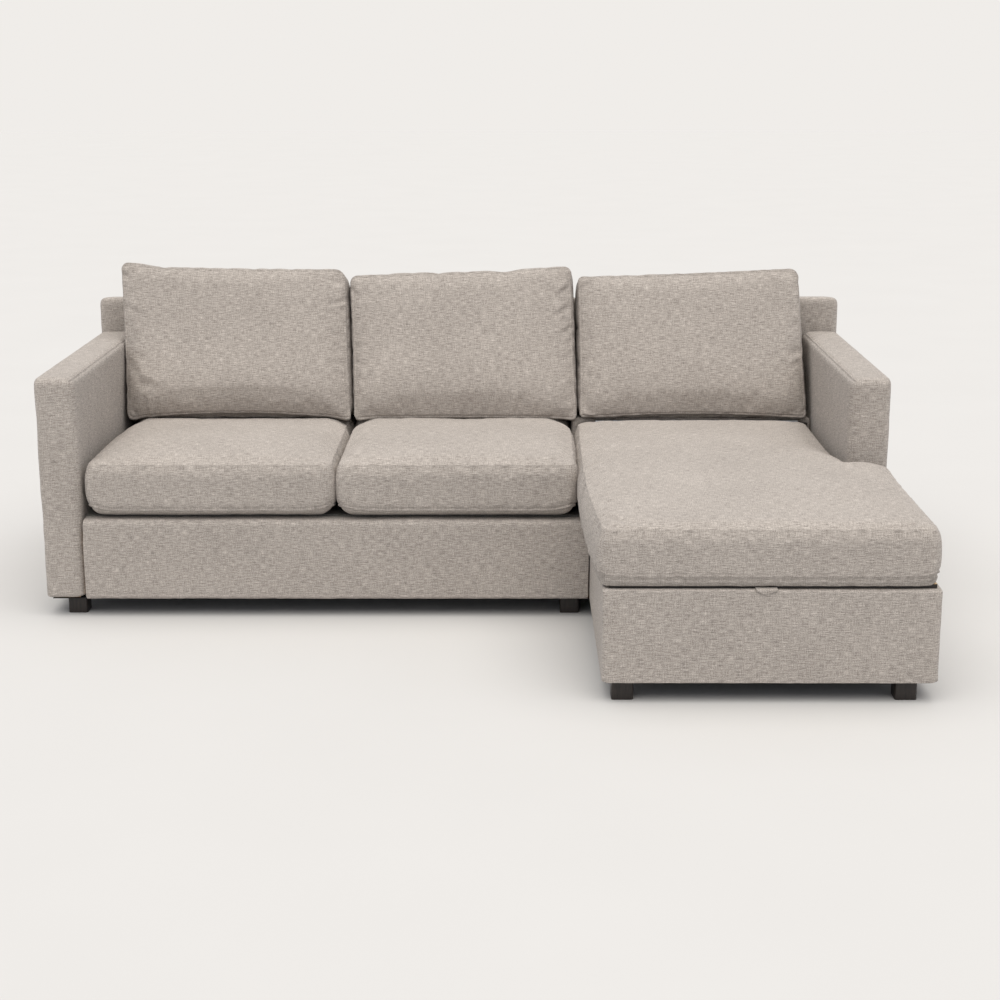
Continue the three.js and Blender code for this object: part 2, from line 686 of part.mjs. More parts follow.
function addStrut(side, wallX, inward) {
  const x = wallX + inward * strutWallDistance;
  const eye = [x - strutEyeLength / 2, x + strutEyeLength / 2];
  const studEnd = x + inward * strutEyeLength / 2;

  // Tube with an eye on the base stud, a blind bore and a gland round the rod
  const shoulder = strutEyeRadius;
  const boreStart = shoulder + strutTubeFloor;
  const glandStart = strutTubeLength - strutGland;
  const glandBore = strutRodRadius + strutRodClearance;
  const tube = strutTurned([
    [0, 0],
    [0, strutTubeRadius],
    [strutTubeLength, strutTubeRadius],
    [strutTubeLength, glandBore],
    [glandStart, glandBore],
    [glandStart, strutTubeBore],
    [boreStart, strutTubeBore],
    [boreStart, 0],
  ], x);
  const baseEye = rodX(...eye, strutBaseY, strutBaseZ, strutEyeRadius, strutSides);
  const studBore = rodX(
    eye[0] - overrun,
    eye[1] + overrun,
    strutBaseY,
    strutBaseZ,
    strutStudRadius + strutStudClearance,
    strutSides,
  );
  addPiece(`strut_tube_${side}`, cut(join(tube, baseEye), studBore), blackSteel);

  // Rod with a piston at its inner end and a ball socket at the lid
  const pistonEnd = boreStart + strutPistonGap;
  const pistonTop = pistonEnd + strutPistonLength;
  const rod = strutTurned([
    [pistonEnd, 0],
    [pistonEnd, strutPistonRadius],
    [pistonTop, strutPistonRadius],
    [pistonTop, strutRodRadius],
    [strutLength, strutRodRadius],
    [strutLength, 0],
  ], x);
  const socket = rodX(...eye, strutLidY, strutLidZ, strutEyeRadius, strutSides);
  addPiece(`strut_rod_${side}`, join(rod, socket), zincSteel);

  // Base bracket: a plate on the box wall with the stud that the tube's eye turns on
  const wallFace = wallX + inward * touchGap;
  const plateFace = wallFace + inward * bracketSheet;
  const plateBottom = floorHeight + floorBoard + touchGap;
  const basePlate = block(
    [Math.min(wallFace, plateFace), strutBaseY - bracketWidth / 2, plateBottom],
    [Math.max(wallFace, plateFace), strutBaseY + bracketWidth / 2, plateBottom + bracketHeight],
  );
  const baseStud = rodX(
    Math.min(wallFace, studEnd),
    Math.max(wallFace, studEnd),
    strutBaseY,
    strutBaseZ,
    strutStudRadius,
    strutSides,
  );
  addPiece(`strut_base_bracket_${side}`, join(basePlate, baseStud), zincSteel);

  // Lid bracket: a flange under the lid board, a web down to the stud
  const webFace = wallX + inward * lidBracketWallGap;
  const webInner = webFace + inward * bracketSheet;
  const flangeEnd = webFace + inward * lidBracketFlange;
  const flangeTop = lidBottom - touchGap;
  const y0 = strutLidY - bracketWidth / 2;
  const y1 = strutLidY + bracketWidth / 2;
  const web = block(
    [Math.min(webFace, webInner), y0, strutLidZ - strutEyeRadius],
    [Math.max(webFace, webInner), y1, flangeTop],
  );
  const flange = block(
    [Math.min(webFace, flangeEnd), y0, flangeTop - bracketSheet],
    [Math.max(webFace, flangeEnd), y1, flangeTop],
  );
  const tip = x - inward * (strutEyeLength / 2 + lidStudGap);
  const lidStud = rodX(
    Math.min(webFace, tip),
    Math.max(webFace, tip),
    strutLidY,
    strutLidZ,
    strutStudRadius,
    strutSides,
  );
  addPiece(`strut_lid_bracket_${side}`, join(web, flange, lidStud), zincSteel);
}

// Joining plates: a tongue under the two-seat section slides over a keeper's strap under the chaise
function addConnector(place, y) {
  const top = footTop;
  const middle = top - connectorSheet;
  const x1 = baseLeftX + connectorTongueReach;
  const half = connectorTongueWidth / 2;
  const low = [sofaRightX - connectorTongueRoot, y - half, middle];
  addPiece(`connector_${place}_tongue`, block(low, [x1, y + half, top]), zincSteel);

  const wall = half + touchGap;
  const outer = wall + connectorSheet;
  const flange = outer + connectorKeeperFlange;
  const strapTop = middle - touchGap;
  const strap = strapTop - connectorSheet;
  const keeper = outline([
    [y - flange, top],
    [y - flange, middle],
    [y - outer, middle],
    [y - outer, strap],
    [y + outer, strap],
    [y + outer, middle],
    [y + flange, middle],
    [y + flange, top],
    [y + wall, top],
    [y + wall, strapTop],
    [y - wall, strapTop],
    [y - wall, top],
  ]);
  const start = x1 - connectorKeeperLength - connectorSheet;
  addPiece(`connector_${place}_keeper`, prismX(keeper, start, x1 - connectorSheet), zincSteel);
}

// Black cloth stapled under each section
function addDustCovers() {
  const z0 = underside - dustCover;
  const sofaLow = [leftX + padThickness, armFrontY + railPadThickness, z0];
  addPiece('sofa_dust_cover', block(sofaLow, [sofaRightX, rearY - padThickness, underside]), blackCloth);

  const chaiseLow = [baseLeftX + basePadThickness, chaiseFrontY + basePadThickness, z0];
  const chaiseHigh = [rightX - padThickness, rearY - padThickness, underside];
  addPiece('chaise_dust_cover', block(chaiseLow, chaiseHigh), blackCloth);
}

// Feet: square blocks with rounded corners

function footGeometry(x, y) {
  const half = footWidth / 2;
  const plan = outline(rectangle(x - half, y - half, x + half, y + half, footCornerRadius));
  return prismZ(plan, 0, footTop);
}

function addFeet() {
  const sofaLeft = leftX + sofaLeftFootInset;
  const feet = {
    foot_sofa_front_left: [sofaLeft, armFrontY + sofaFrontFootInset],
    foot_sofa_front_right: [sofaRightX - footSideInset, armFrontY + sofaFrontFootInset],
    foot_sofa_rear_left: [sofaLeft, rearY - footRearInset],
    foot_sofa_rear_right: [sofaRightX - footSideInset, rearY - footRearInset],
    foot_chaise_front_left: [baseLeftX + footSideInset, chaiseFrontY + footFrontInset],
    foot_chaise_front_right: [rightX - chaiseRightFootInset, chaiseFrontY + footFrontInset],
    foot_chaise_rear_left: [baseLeftX + footSideInset, chaiseRearY - footRearInset],
    foot_chaise_rear_right: [rightX - chaiseRightFootInset, rearY - footRearInset],
  };
  Object.entries(feet).forEach(([name, [x, y]]) => addPiece(name, footGeometry(x, y), darkWood));
}

// Pull tab: a strap fixed to the lid board's front edge, folded down over the base
function addPullTab() {
  const rear = chaiseFrontY + lidInset - touchGap;
  const front = chaiseFrontY - tabReach;
  const profile = outline([
    [rear, lidBottom],
    [rear, lidTop],
    [rear - tabThickness, lidTop],
    [front, lidBottom + tabThickness, tabThickness],
    [front, chaiseBaseTop - tabDrop],
    [chaiseFrontY - tabRearGap, chaiseBaseTop - tabDrop],
    [chaiseFrontY - tabRearGap, lidBottom],
  ]);
  const middle = (baseLeftX + rightX) / 2 - tabOffset;
  addPiece('pull_tab', prismX(profile, middle - tabWidth / 2, middle + tabWidth / 2), sofaFabric);
}

// Soft forms: two gridded panels, closed by the rings of a boxed side

// place gives the point at grid shares (s, t) on ring 0, the lower panel, to the last ring, the upper one
function paddedGeometry(sShares, tShares, isFilled, ringCount, place) {
  const positions = [];
  const indices = [];
  const known = new Map();
  const vertex = (i, j, ring) => {
    const key = `${i},${j},${ring}`;
    if (!known.has(key)) {
      known.set(key, positions.length / 3);
      positions.push(...place(sShares[i], tShares[j], ring));
    }
    return known.get(key);
  };
  const quad = (a, b, c, d) => indices.push(a, b, c, a, c, d);
  const inGrid = (i, j) => i >= 0 && j >= 0 && i < sShares.length - 1 && j < tShares.length - 1;
  const filled = (i, j) => inGrid(i, j) && isFilled(i, j);
  const top = ringCount - 1;
  const sideStrip = (start, end) => {
    for (let ring = 0; ring < top; ring += 1) {
      const upper = ring + 1;
      quad(vertex(...start, ring), vertex(...end, ring), vertex(...end, upper), vertex(...start, upper));
    }
  };
  for (let i = 0; i < sShares.length - 1; i += 1) {
    for (let j = 0; j < tShares.length - 1; j += 1) {
      if (!filled(i, j)) continue;
      quad(vertex(i, j, top), vertex(i + 1, j, top), vertex(i + 1, j + 1, top), vertex(i, j + 1, top));
      quad(vertex(i, j, 0), vertex(i, j + 1, 0), vertex(i + 1, j + 1, 0), vertex(i + 1, j, 0));
      if (!filled(i, j - 1)) sideStrip([i, j], [i + 1, j]);
      if (!filled(i + 1, j)) sideStrip([i + 1, j], [i + 1, j + 1]);
      if (!filled(i, j + 1)) sideStrip([i + 1, j + 1], [i, j + 1]);
      if (!filled(i - 1, j)) sideStrip([i, j + 1], [i, j]);
    }
  }
  const geometry = new THREE.BufferGeometry();
  geometry.setAttribute('position', new THREE.BufferAttribute(new Float32Array(positions), 3));
  geometry.setIndex(indices);
  geometry.computeVertexNormals();
  return geometry;
}

// Quarter-round rise from a seam to full height
function roundedRise(share) {
  const left = 1 - THREE.MathUtils.clamp(share, 0, 1);
  return Math.sqrt(1 - left * left);
}

function smoothRise(share) {
  return Math.sin(THREE.MathUtils.clamp(share, 0, 1) * Math.PI / 2);
}

function arch(share) {
  return Math.sin(Math.PI * THREE.MathUtils.clamp(share, 0, 1));
}

// Height of a seat cushion's upper panel: a rounded shoulder, then a crown that ends at the back cushions
function seatPanelHeight(edgeDistance, y, frontY, skew) {
  const shoulderHeight = seatTop - touchGap - cushionEdgeHeight;
  const shoulder = shoulderHeight * roundedRise(edgeDistance / cushionShoulderReach);
  const toBack = (y - frontY) / (backCushionFrontY - frontY);
  const crown = cushionCrown * smoothRise(edgeDistance / cushionCrownReach) * arch(toBack ** skew);
  return cushionEdgeHeight + shoulder + crown;
}

// Grid shares from start to end with one line at corner, close at all three places
function splitGrid(start, corner, end) {
  const cornerShare = (corner - start) / (end - start);
  const shares = [
    ...firstStretchShares.map((share) => share * cornerShare),
    ...secondStretchShares.map((share) => THREE.MathUtils.lerp(cornerShare, 1, share)),
  ];
  return { shares, cornerShare, corner: firstStretchShares.length - 1 };
}

function seatCushionGeometry(x0, x1) {
  const y0 = armFrontY;
  const y1 = backFrontY - touchGap;
  const bottom = deckTop;
  const top = cushionSideRingShares.length - 1;
  const place = (s, t, ring) => {
    const [heightShare, insetShare] = cushionSideRingShares[ring];
    const slack = 1 - arch(heightShare);
    const inset = cushionEdgeInset * insetShare;
    const sideInset = inset + cushionDraw * arch(t) * slack;
    const endInset = inset + cushionDraw * arch(s) * slack;
    const x = THREE.MathUtils.lerp(x0 + sideInset, x1 - sideInset, s);
    const y = THREE.MathUtils.lerp(y0 + endInset, y1 - inset, t);
    const edge = Math.min(x - x0 - sideInset, x1 - sideInset - x, y - y0 - endInset, y1 - inset - y);
    const fall = seatTop - standHeight(y);
    const side = THREE.MathUtils.lerp(bottom, cushionEdgeHeight - fall, heightShare);
    return [x, y, ring === top ? seatPanelHeight(edge, y, y0, seatCrownSkew) - fall : side];
  };
  const along = splitGrid(y0, backCushionFrontY, y1);
  return paddedGeometry(cushionGridShares, along.shares, () => true, top + 1, place);
}

// The chaise cushion is L-shaped: its grid has a line along each side of the notch
function chaiseCushionGeometry() {
  const x0 = cushionSplit;
  const x1 = rightX - chaiseCushionInset;
  const innerX = armInnerRight - cushionSideGap;
  const y0 = chaiseFrontY;
  const y1 = riserRearY - riserBoard - touchGap;
  const bottom = lidTop + touchGap;
  const top = cushionSideRingShares.length - 1;
  const across = splitGrid(x0, innerX, x1);
  const along = splitGrid(y0, lidNotchY, y1);
  const isFilled = (i, j) => i < across.corner || j < along.corner;
  const place = (s, t, ring) => {
    const [heightShare, insetShare] = cushionSideRingShares[ring];
    const slack = 1 - arch(heightShare);
    const inset = cushionEdgeInset * insetShare;
    const inNotchX = s >= across.cornerShare && t > along.cornerShare;
    const inNotchY = t >= along.cornerShare && s > across.cornerShare;
    const draw = cushionDraw * slack;
    const taper = chaiseFrontTaper * (1 - smoothRise(t * (y1 - y0) / chaiseTaperReach));
    const left = x0 + inset + chaiseLeftBow * (1 - arch(t)) + taper;
    const right = (inNotchX ? innerX : x1) - inset - draw * arch(t / along.cornerShare);
    const front = y0 + inset + draw * arch(s);
    const rear = (inNotchY ? lidNotchY : y1) - inset;
    const xShare = inNotchX ? s / across.cornerShare : s;
    const yShare = inNotchY ? t / along.cornerShare : t;
    const x = THREE.MathUtils.lerp(left, right, xShare);
    const y = THREE.MathUtils.lerp(front, rear, yShare);
    const longEdge = Math.min(x - left, innerX - x, y - front, y1 - inset - y);
    const wideEdge = Math.min(x - left, x1 - inset - x, y - front, lidNotchY - y);
    const edge = Math.max(longEdge, wideEdge, 0);
    const rearDrop = chaiseRearEdgeDrop * (1 - roundedRise((y1 - y) / chaiseRearEdgeReach));
    const side = THREE.MathUtils.lerp(bottom, cushionEdgeHeight - rearDrop, heightShare);
    return [x, y, ring === top ? seatPanelHeight(edge, y, y0, 1) - rearDrop : side];
  };
  return paddedGeometry(across.shares, along.shares, isFilled, top + 1, place);
}

// A back cushion stands on the seat and leans on the back: s runs across it and t up it
function backCushionGeometry(bayLeft, name) {
  const [footLeft, footRight] = backCushionFootShares[name].map((share, index) => (
    index === 0 ? bayLeft + seatBayWidth * share : bayLeft + seatBayWidth * (1 - share)
  ));
  const [shiftLeft, shiftRight] = backCushionShiftShares[name].map((share) => seatBayWidth * share);
  const [riseLeft, riseRight] = backCushionRiseShares[name].map((share) => seatTop + backCushionRise * share);
  const footFront = backCushionFrontY;
  const topFront = footFront + backCushionTopShift;
  const top = backCushionRingShares.length - 1;
  const place = (s, t, ring) => {
    const [depthShare, insetShare] = backCushionRingShares[ring];
    const slack = 1 - arch(depthShare);
    const inset = backCushionEdgeInset * insetShare;
    const sideInset = inset + backCushionDraw * arch(t) * slack;
    const topInset = inset + backCushionDraw * arch(s) * slack;
    const left = footLeft + shiftLeft * t;
    const right = footRight + shiftRight * t;
    const bottom = standHeight(footFront + backCushionFootDepth * (1 - depthShare)) + touchGap;
    const x = THREE.MathUtils.lerp(left + sideInset, right - sideInset, s);
    const corner = THREE.MathUtils.lerp(riseLeft, riseRight, s);
    const rise = corner - topInset - backCushionTopFall * (1 - depthShare);
    const z = THREE.MathUtils.lerp(bottom, rise, t);
    const lean = (z - bottom) / (corner - bottom);
    const edge = Math.min(x - left - sideInset, right - sideInset - x, z - bottom, rise - z);
    const front = THREE.MathUtils.lerp(footFront, topFront, lean);
    const depth = THREE.MathUtils.lerp(backCushionFootDepth, backCushionTopDepth, lean);
    const crown = smoothRise(edge / backCushionCrownReach);
    const frontShare = ring === top ? -backCushionCrown * crown : 0;
    const rearShare = ring === 0 ? backCushionRearCrown * crown : 0;
    return [x, THREE.MathUtils.lerp(front + depth, front, depthShare) + frontShare + rearShare, z];
  };
  return paddedGeometry(backCushionGridShares, backCushionGridShares, () => true, top + 1, place);
}

function addCushions() {
  const seatSplits = {
    seat_cushion_left: [armInnerLeft + cushionSideGap, seatSplitX - cushionSplitGap / 2],
    seat_cushion_centre: [seatSplitX + cushionSplitGap / 2, cushionSplit - cushionSplitGap],
  };
  Object.entries(seatSplits).forEach(([name, [x0, x1]]) => {
    addPiece(name, seatCushionGeometry(x0, x1), sofaFabric);
  });
  addPiece('chaise_cushion', chaiseCushionGeometry(), sofaFabric);
  Object.keys(backCushionFootShares).forEach((name, index) => {
    const geometry = backCushionGeometry(armInnerLeft + index * seatBayWidth, name);
    addPiece(`back_cushion_${name}`, geometry, sofaFabric);
  });
}

addArm('left', leftX, armInnerLeft);
addArm('right', armInnerRight, rightX);
addBack('sofa', leftX, sofaRightX, sofaBackFrameBays);
addBack('chaise', baseLeftX, rightX, chaiseBackFrameBays);
addSeatFrame();
addSeatSprings();
addSeatDeck();
addFrontRail();
addChaiseBaseCover();
addStorageBox();
addRearDeck();
addLid();
addHinge();
addStrut('left', boxInnerLeft, 1);
addStrut('right', boxInnerRight, -1);
addConnector('front', armFrontY + connectorEdgeInset);
addConnector('rear', rearY - connectorEdgeInset);
addDustCovers();
addFeet();
addPullTab();
addCushions();

export default sofa;
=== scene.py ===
"""Looks of the sectional sofa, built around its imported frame.

Lengths are in metres. X runs to the right as seen from the front, Y to the rear and Z up.
"""

import math

import bpy
import numpy as np
from mathutils import Matrix, Vector


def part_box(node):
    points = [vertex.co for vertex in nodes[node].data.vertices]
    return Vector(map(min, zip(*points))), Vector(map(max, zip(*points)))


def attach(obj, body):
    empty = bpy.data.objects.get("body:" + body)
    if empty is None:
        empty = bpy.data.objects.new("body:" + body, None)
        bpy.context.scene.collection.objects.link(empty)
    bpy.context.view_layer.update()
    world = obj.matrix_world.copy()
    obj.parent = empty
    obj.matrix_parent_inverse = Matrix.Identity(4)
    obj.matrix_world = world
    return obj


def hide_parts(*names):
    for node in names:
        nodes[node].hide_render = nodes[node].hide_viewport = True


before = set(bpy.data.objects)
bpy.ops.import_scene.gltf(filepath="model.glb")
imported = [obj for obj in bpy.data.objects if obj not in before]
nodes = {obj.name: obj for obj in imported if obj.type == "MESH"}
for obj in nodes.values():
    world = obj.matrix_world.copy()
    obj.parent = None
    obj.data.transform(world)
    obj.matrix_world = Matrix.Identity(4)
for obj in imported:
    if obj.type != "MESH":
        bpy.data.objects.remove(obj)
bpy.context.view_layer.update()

# Camera, fitted to the photograph
CAMERA_PLACE = (0.1237, -4.802, 1.4875)
CAMERA_PITCH = 0.2446
CAMERA_YAW = -0.0051
CAMERA_ROLL = -0.0011
CAMERA_LENS = 64.8
SENSOR_WIDTH = 36.0

# Heathered weave: yarns and colours
YARN_PITCH = 0.0021
SLUB_WIDTH = 0.0022
SLUB_LENGTH = 0.021
CLOUD_SIZE = 0.16
YARN_DARK = (0.200, 0.177, 0.160)
YARN_GREY = (0.392, 0.352, 0.318)
YARN_LIGHT = (0.640, 0.585, 0.535)

# Heathered weave: shares, marks and relief
FLECK_SIZE = 0.0022
WEFT_SHARE = 0.36
WARP_SHARE = 0.20
FLECK_SHARE = 0.38
CLOUD_SHARE = 0.06
YARN_LOW = 0.35
YARN_MIDDLE = 0.50
YARN_HIGH = 0.65
SEAM_SHADE = 0.22
SEAM_SHADE_REACH = 0.004
WEAVE_SHARE = 0.3
WEAVE_DEPTH = 0.0005
WARP_OFFSET = 9.0
FLECK_OFFSET = 21.0
WEAVE_ROUGHNESS = 0.95
WEAVE_SHEEN = 0.12
SHEEN_ROUGHNESS = 0.6
WEAVE_SPECULAR = 0.2

# Fixed pseudo-random numbers
CELL_FACTORS = (73856093, 19349663, 83492791)
SEED_FACTOR = 2654435761
STIR_FACTOR = 1274126177
STIR_SHIFTS = (13, 15)
LARGEST_MIXED = 0x7FFFFFFF
RANDOM_STEPS = 65536

# Mesh cells of the upholstery
SEAM_CELL = 0.0025
PANEL_CELL = 0.011
CELL_GROWTH = 1.5

# Seams and the gathers beside them
SEAM_RIDGE = 0.0015
SEAM_RIDGE_WIDTH = 0.0022
SEAM_DIP = 0.0016
SEAM_DIP_WIDTH = 0.0060
PUCKER_HEIGHT = 0.0011
PUCKER_REACH = 0.022
PUCKER_LENGTH = 0.017
PUCKER_SPREAD = 0.11
PUCKER_VARIATION = 0.6
UNEVENNESS = 0.0022
UNEVENNESS_LENGTH = 0.13
RUMPLE = 0.0007
RUMPLE_LENGTH = 0.034
DRAW_REACH = 0.12
FULLNESS_BLEND = 6
ROUNDING_ERROR = 1e-6
FOLD_SHARE = 0.5
CREASE_END_SHARE = 0.25
CREASE_TAPER = 0.9
FRONT_FACING = 0.3

# Cloth pressed out by its filling
CLOTH_FRAMES = 20
CLOTH_STEPS = 5
CLOTH_PRESSURE = 4.0
CLOTH_BENDING = 0.4
COVER_EASE = 0.02
HELD_REACH = 0.004
SEAT_CAP = 0.005
BACK_CAP = 0.006

# Octaves of the noises
YARN_DETAIL = 1.0
PLAIN_DETAIL = 2.0
FIBRE_DETAIL = 3.0
RING_DETAIL = 4.0

# Wood: dark and light colour, and lengths of the grain along X, Y and Z
PINE = ((0.34, 0.19, 0.08), (0.62, 0.42, 0.22))
PINE_GRAINS = ((0.30, 0.016, 0.02), (0.016, 0.30, 0.02), (0.016, 0.02, 0.30))
PINE_RELIEF = 0.0003
BIRCH = ((0.46, 0.31, 0.17), (0.68, 0.51, 0.31))
BIRCH_GRAIN = (0.05, 0.40, 0.0028)
BIRCH_RELIEF = 0.0002
WOOD_ROUGHNESS = 0.68
GRAIN_SHARE = 0.7
FIBRE_FINENESS = 9
WOOD_MARKS = (0.34, 0.62)
BEECH = ((0.006, 0.0045, 0.004), (0.034, 0.024, 0.019))
BEECH_GRAIN = (0.003, 0.003, 0.045)
BEECH_WEAR = (0.02, 0.02, 0.008)
BEECH_RELIEF = 0.0003
BEECH_MARKS = (0.3, 0.72)
BEECH_ROUGHNESS = 0.3
BEECH_WEAR_ROUGHNESS = 0.25

# Matted cloth: dark and light colour, size of its fibres and relief
FELT = ((0.11, 0.105, 0.095), (0.24, 0.23, 0.21), 0.0016, 0.0006)
SPUN_CLOTH = ((0.006, 0.006, 0.007), (0.02, 0.02, 0.022), 0.0012, 0.0002)
FIBRE_STRETCH = 2.4
FIBRE_SHARE = 0.8
CLOTH_PATCH = 0.08
CLOTH_MARKS = (0.36, 0.66)
CLOTH_ROUGHNESS = 0.98

# Metals: dark and light colour, roughness, and size of patches and streaks
ZINC = ((0.50, 0.52, 0.54), (0.66, 0.68, 0.70), 0.34, 0.012, 0.0012)
OILED_WIRE = ((0.13, 0.13, 0.135), (0.27, 0.27, 0.28), 0.36, 0.006, 0.0008)
SATIN_BLACK = ((0.010, 0.010, 0.011), (0.022, 0.022, 0.024), 0.45, 0.02, 0.0015)
METAL_MARKS = (0.35, 0.68)
STREAK_ROUGHNESS = 0.22
STREAK_RELIEF = 0.00008

# Seat and chaise cushions
SEAT_SEAM = 0.4195
UPPER_INSET = 0.009
LOWER_INSET = 0.005
SEAM_EDGE = 0.045
SHOULDER = 0.0105
SHOULDER_REACH = 0.055
SEAT_CROWN = 0.020
CROWN_REACH = 0.26
SEAT_CROWN_SKEW = 0.6
SEAT_REAR_FALL = 0.017
SEAT_PROUD = 0.003
LOWER_SEAM_RISE = 0.024
BELLY_REACH = 0.060
CUSHION_CORNER = 0.032
CORNER_LIFT = 0.016
CORNER_LIFT_REACH = 0.095
TOP_SEAM_SIZE = 0.15
LOWER_SEAM_SIZE = 1.2
PINCH_DEPTH = 0.012
PINCH_WIDTH = 0.036
PINCH_LENGTH = 0.055
ARM_SIDE_INSET = 0.007
ARM_SIDE_DENT = 0.018
ARM_SIDE_DENT_LENGTH = 0.17
SIDE_DENT = 0.008
CENTRE_BULGE = 0.005
NOTCH_X = 1.016
NOTCH_Y = -0.194
NOTCH_RISE = 0.017
NOTCH_SPREAD = 0.13
NOTCH_SIDE_INSET = 0.011
CHAISE_REAR_DROP = 0.008
CHAISE_REAR_REACH = 0.030
CHAISE_SEAM_RISE = 0.0065
CHAISE_BELLY_REACH = 0.004
CHAISE_CORNER_LIFT = 0.012
CHAISE_WELT = 0.0145
CHAISE_HEM = 0.007
HEM_WIDTH = 0.010
HEM_FADE = 0.06
CHAISE_BOW = 0.009
CHAISE_TAPER = 0.012
CHAISE_TAPER_REACH = 0.45

# Back cushions: their foot stands on the seat and their upper end leans on the back
BACK_FOOT_Y = 0.425
BACK_FOOT_Z = 0.4303
BACK_FACE_Y = 0.680
BACK_FOOT_DEPTH = 0.186
BACK_TOP_DEPTH = 0.124
BACK_TOP_SHIFT = 0.145
BACK_TOP_FALL = 0.036
BACK_REAR_INSET = 0.007
BACK_SEAM_INSET = 0.001
BACK_DRAW = 0.003
BACK_SIDE_PROUD = 0.004
BACK_TOP_PROUD = 0.020
BACK_SEAM_SET = 0.004
FOOT_SEAM_SIZE = 2.0
BACK_SHOULDER = 0.009
BACK_SHOULDER_REACH = 0.034
BACK_CROWN = 0.018
BACK_CROWN_REACH = 0.23
BACK_REAR_CROWN = 0.003
BACK_SAG = 0.05
BACK_PROUD = 0.018
BELLY_HEIGHT = 0.095
BELLY_FADE = 0.11
ROLL_DEPTH = 0.014
ROLL_REACH = 0.06
FOOT_DROP = 0.006
FOOT_DROOP_PLACE = 0.0094
FOOT_DROOP_WIDTH = 0.005

# Creases of the back cushions: both ends as (x, z), width and depth
LEFT_CREASES = (
    ((-0.352, 0.770), (-0.412, 0.759), 0.006, 0.0045),
    ((-1.022, 0.756), (-0.965, 0.729), 0.007, 0.0045),
    ((-1.033, 0.846), (-1.003, 0.832), 0.006, 0.0030),
    ((-1.008, 0.594), (-0.972, 0.561), 0.012, 0.0050),
    ((-0.970, 0.540), (-0.920, 0.528), 0.012, 0.0045),
    ((-0.949, 0.500), (-0.946, 0.438), 0.006, 0.0030),
    ((-0.375, 0.470), (-0.350, 0.478), 0.005, 0.0030),
)
CENTRE_CREASES = (
    ((0.274, 0.787), (0.305, 0.810), 0.006, 0.0045),
    ((0.262, 0.726), (0.303, 0.750), 0.007, 0.0050),
    ((0.278, 0.670), (0.318, 0.696), 0.007, 0.0045),
    ((-0.352, 0.803), (-0.333, 0.783), 0.006, 0.0030),
)
RIGHT_CREASES = (
    ((1.000, 0.626), (0.950, 0.616), 0.009, 0.0035),
    ((0.987, 0.448), (1.010, 0.462), 0.005, 0.0030),
    ((0.346, 0.438), (0.388, 0.430), 0.005, 0.0035),
    ((0.333, 0.794), (0.362, 0.815), 0.007, 0.0030),
)

# Arms, backs and deck: edge radii along X, Y and Z at their low and at their high sides
ARM_OUTER_RADIUS = 0.017
ARM_INNER_RADIUS = 0.036
ARM_FRONT_RADIUS = 0.030
ARM_REAR_RADIUS = 0.012
ARM_TOP_RADIUS = 0.020
ARM_FOOT_RADIUS = 0.009
ARM_PROUD = 0.006
ARM_SEAM_SIZE = 0.8
FAINT_SEAM_SIZE = 0.15
BACK_RADII = ((0.020, 0.015, 0.009), (0.020, 0.015, 0.023))
DECK_RADII = ((0.010, 0.010, 0.004), (0.010, 0.010, 0.010))
BACK_REAR_FALL = 0.0155

# Rail and base
ARC_STEPS = 6
RAIL_PAD = 0.012
RAIL_SHELF = 0.2505
RAIL_ROLL = 0.016
RAIL_REAR_RADIUS = 0.008
RAIL_FOLD = 0.006
FOLD_LINE = 0.008
END_ROUNDING = 0.003
BASE_INNER_X = 1.0197
BASE_RETURN_Y = -0.1503
BASE_CORNER = 0.016
SMALLEST_RADIUS = 0.0004
BASE_ROLL = 0.0079
BASE_FOLD = 0.0039
BASE_PAD = 0.008
BASE_LIP = 0.003
BASE_LIP_WIDTH = 0.0263
BASE_TOP_ROUND = 0.016
BASE_FOOT_ROUND = 0.013
BASE_ROUND_START = 0.0045
BASE_ROUND_FADE = 0.03

# Pull tab
TAB_STEPS = 16
CUT_ROUNDS = 2
CORNER_CUT = 0.25
TAB_STRAP = 0.0022
TAB_POINT = 0.8
TAB_LEAN = -0.2
TAB_SIDE_DROP = 0.003
TAB_TOP_Z = 0.2798
TAB_TAIL_Z = 0.2800
TAB_FACE_Y = -0.8163
TAB_TURN_SHARE = 0.35

# Studio
FLOOR_SIZE = 60.0
FLOOR_COLOUR = (0.600, 0.594, 0.585)
FLOOR_MOTTLE = 0.004
FLOOR_MOTTLE_SIZE = 0.5
MOTTLE_MARKS = (0.3, 0.7)
WORLD_LIGHT = (0.605, 0.620, 0.655)
SUN_FROM = (0.0, -0.26, 0.97)
SUN_STRENGTH = 2.75
SUN_COLOUR = (1.0, 0.950, 0.875)
SUN_ANGLE = math.radians(80)

# Lid board: its edges and all above this height are painted black-brown as shade, for the shadow in the gap
# under the chaise cushion
LID_RISER_Z = 0.30
PAINTED_GAP_SHADE = (0.020, 0.016, 0.014)

# Edges of the hard pieces
SHARP_ANGLE = math.radians(40)
EDGE_SEGMENTS = 3
BOARD_EDGE = 0.002
PLYWOOD_EDGE = 0.0008
DECK_PAD_EDGE = 0.004
DUST_COVER_EDGE = 0.0004
FOOT_EDGE = 0.0022
WIRE_EDGE = 0.0002
FITTING_EDGE = 0.0004
TUBE_EDGE = 0.0006


# Numbers

def clamp(value, low=0.0, high=1.0):
    return np.minimum(np.maximum(value, low), high)


def mix(start, end, share):
    return start + (end - start) * share


def rounded_rise(share):
    """Quarter-round rise from 0 at a seam to 1."""
    return np.sqrt(1 - (1 - clamp(share)) ** 2)


def smooth_rise(share):
    return np.sin(clamp(share) * math.pi / 2)


def arch(share):
    return np.sin(math.pi * clamp(share))


def eased(share):
    """Rise from 0 to 1 that slows to a stop."""
    return 1 - (1 - clamp(share)) ** 2


def bell(distance, width):
    """1 at no distance, falling smoothly to 0 beyond the width."""
    return np.exp(-(distance / width) ** 2)


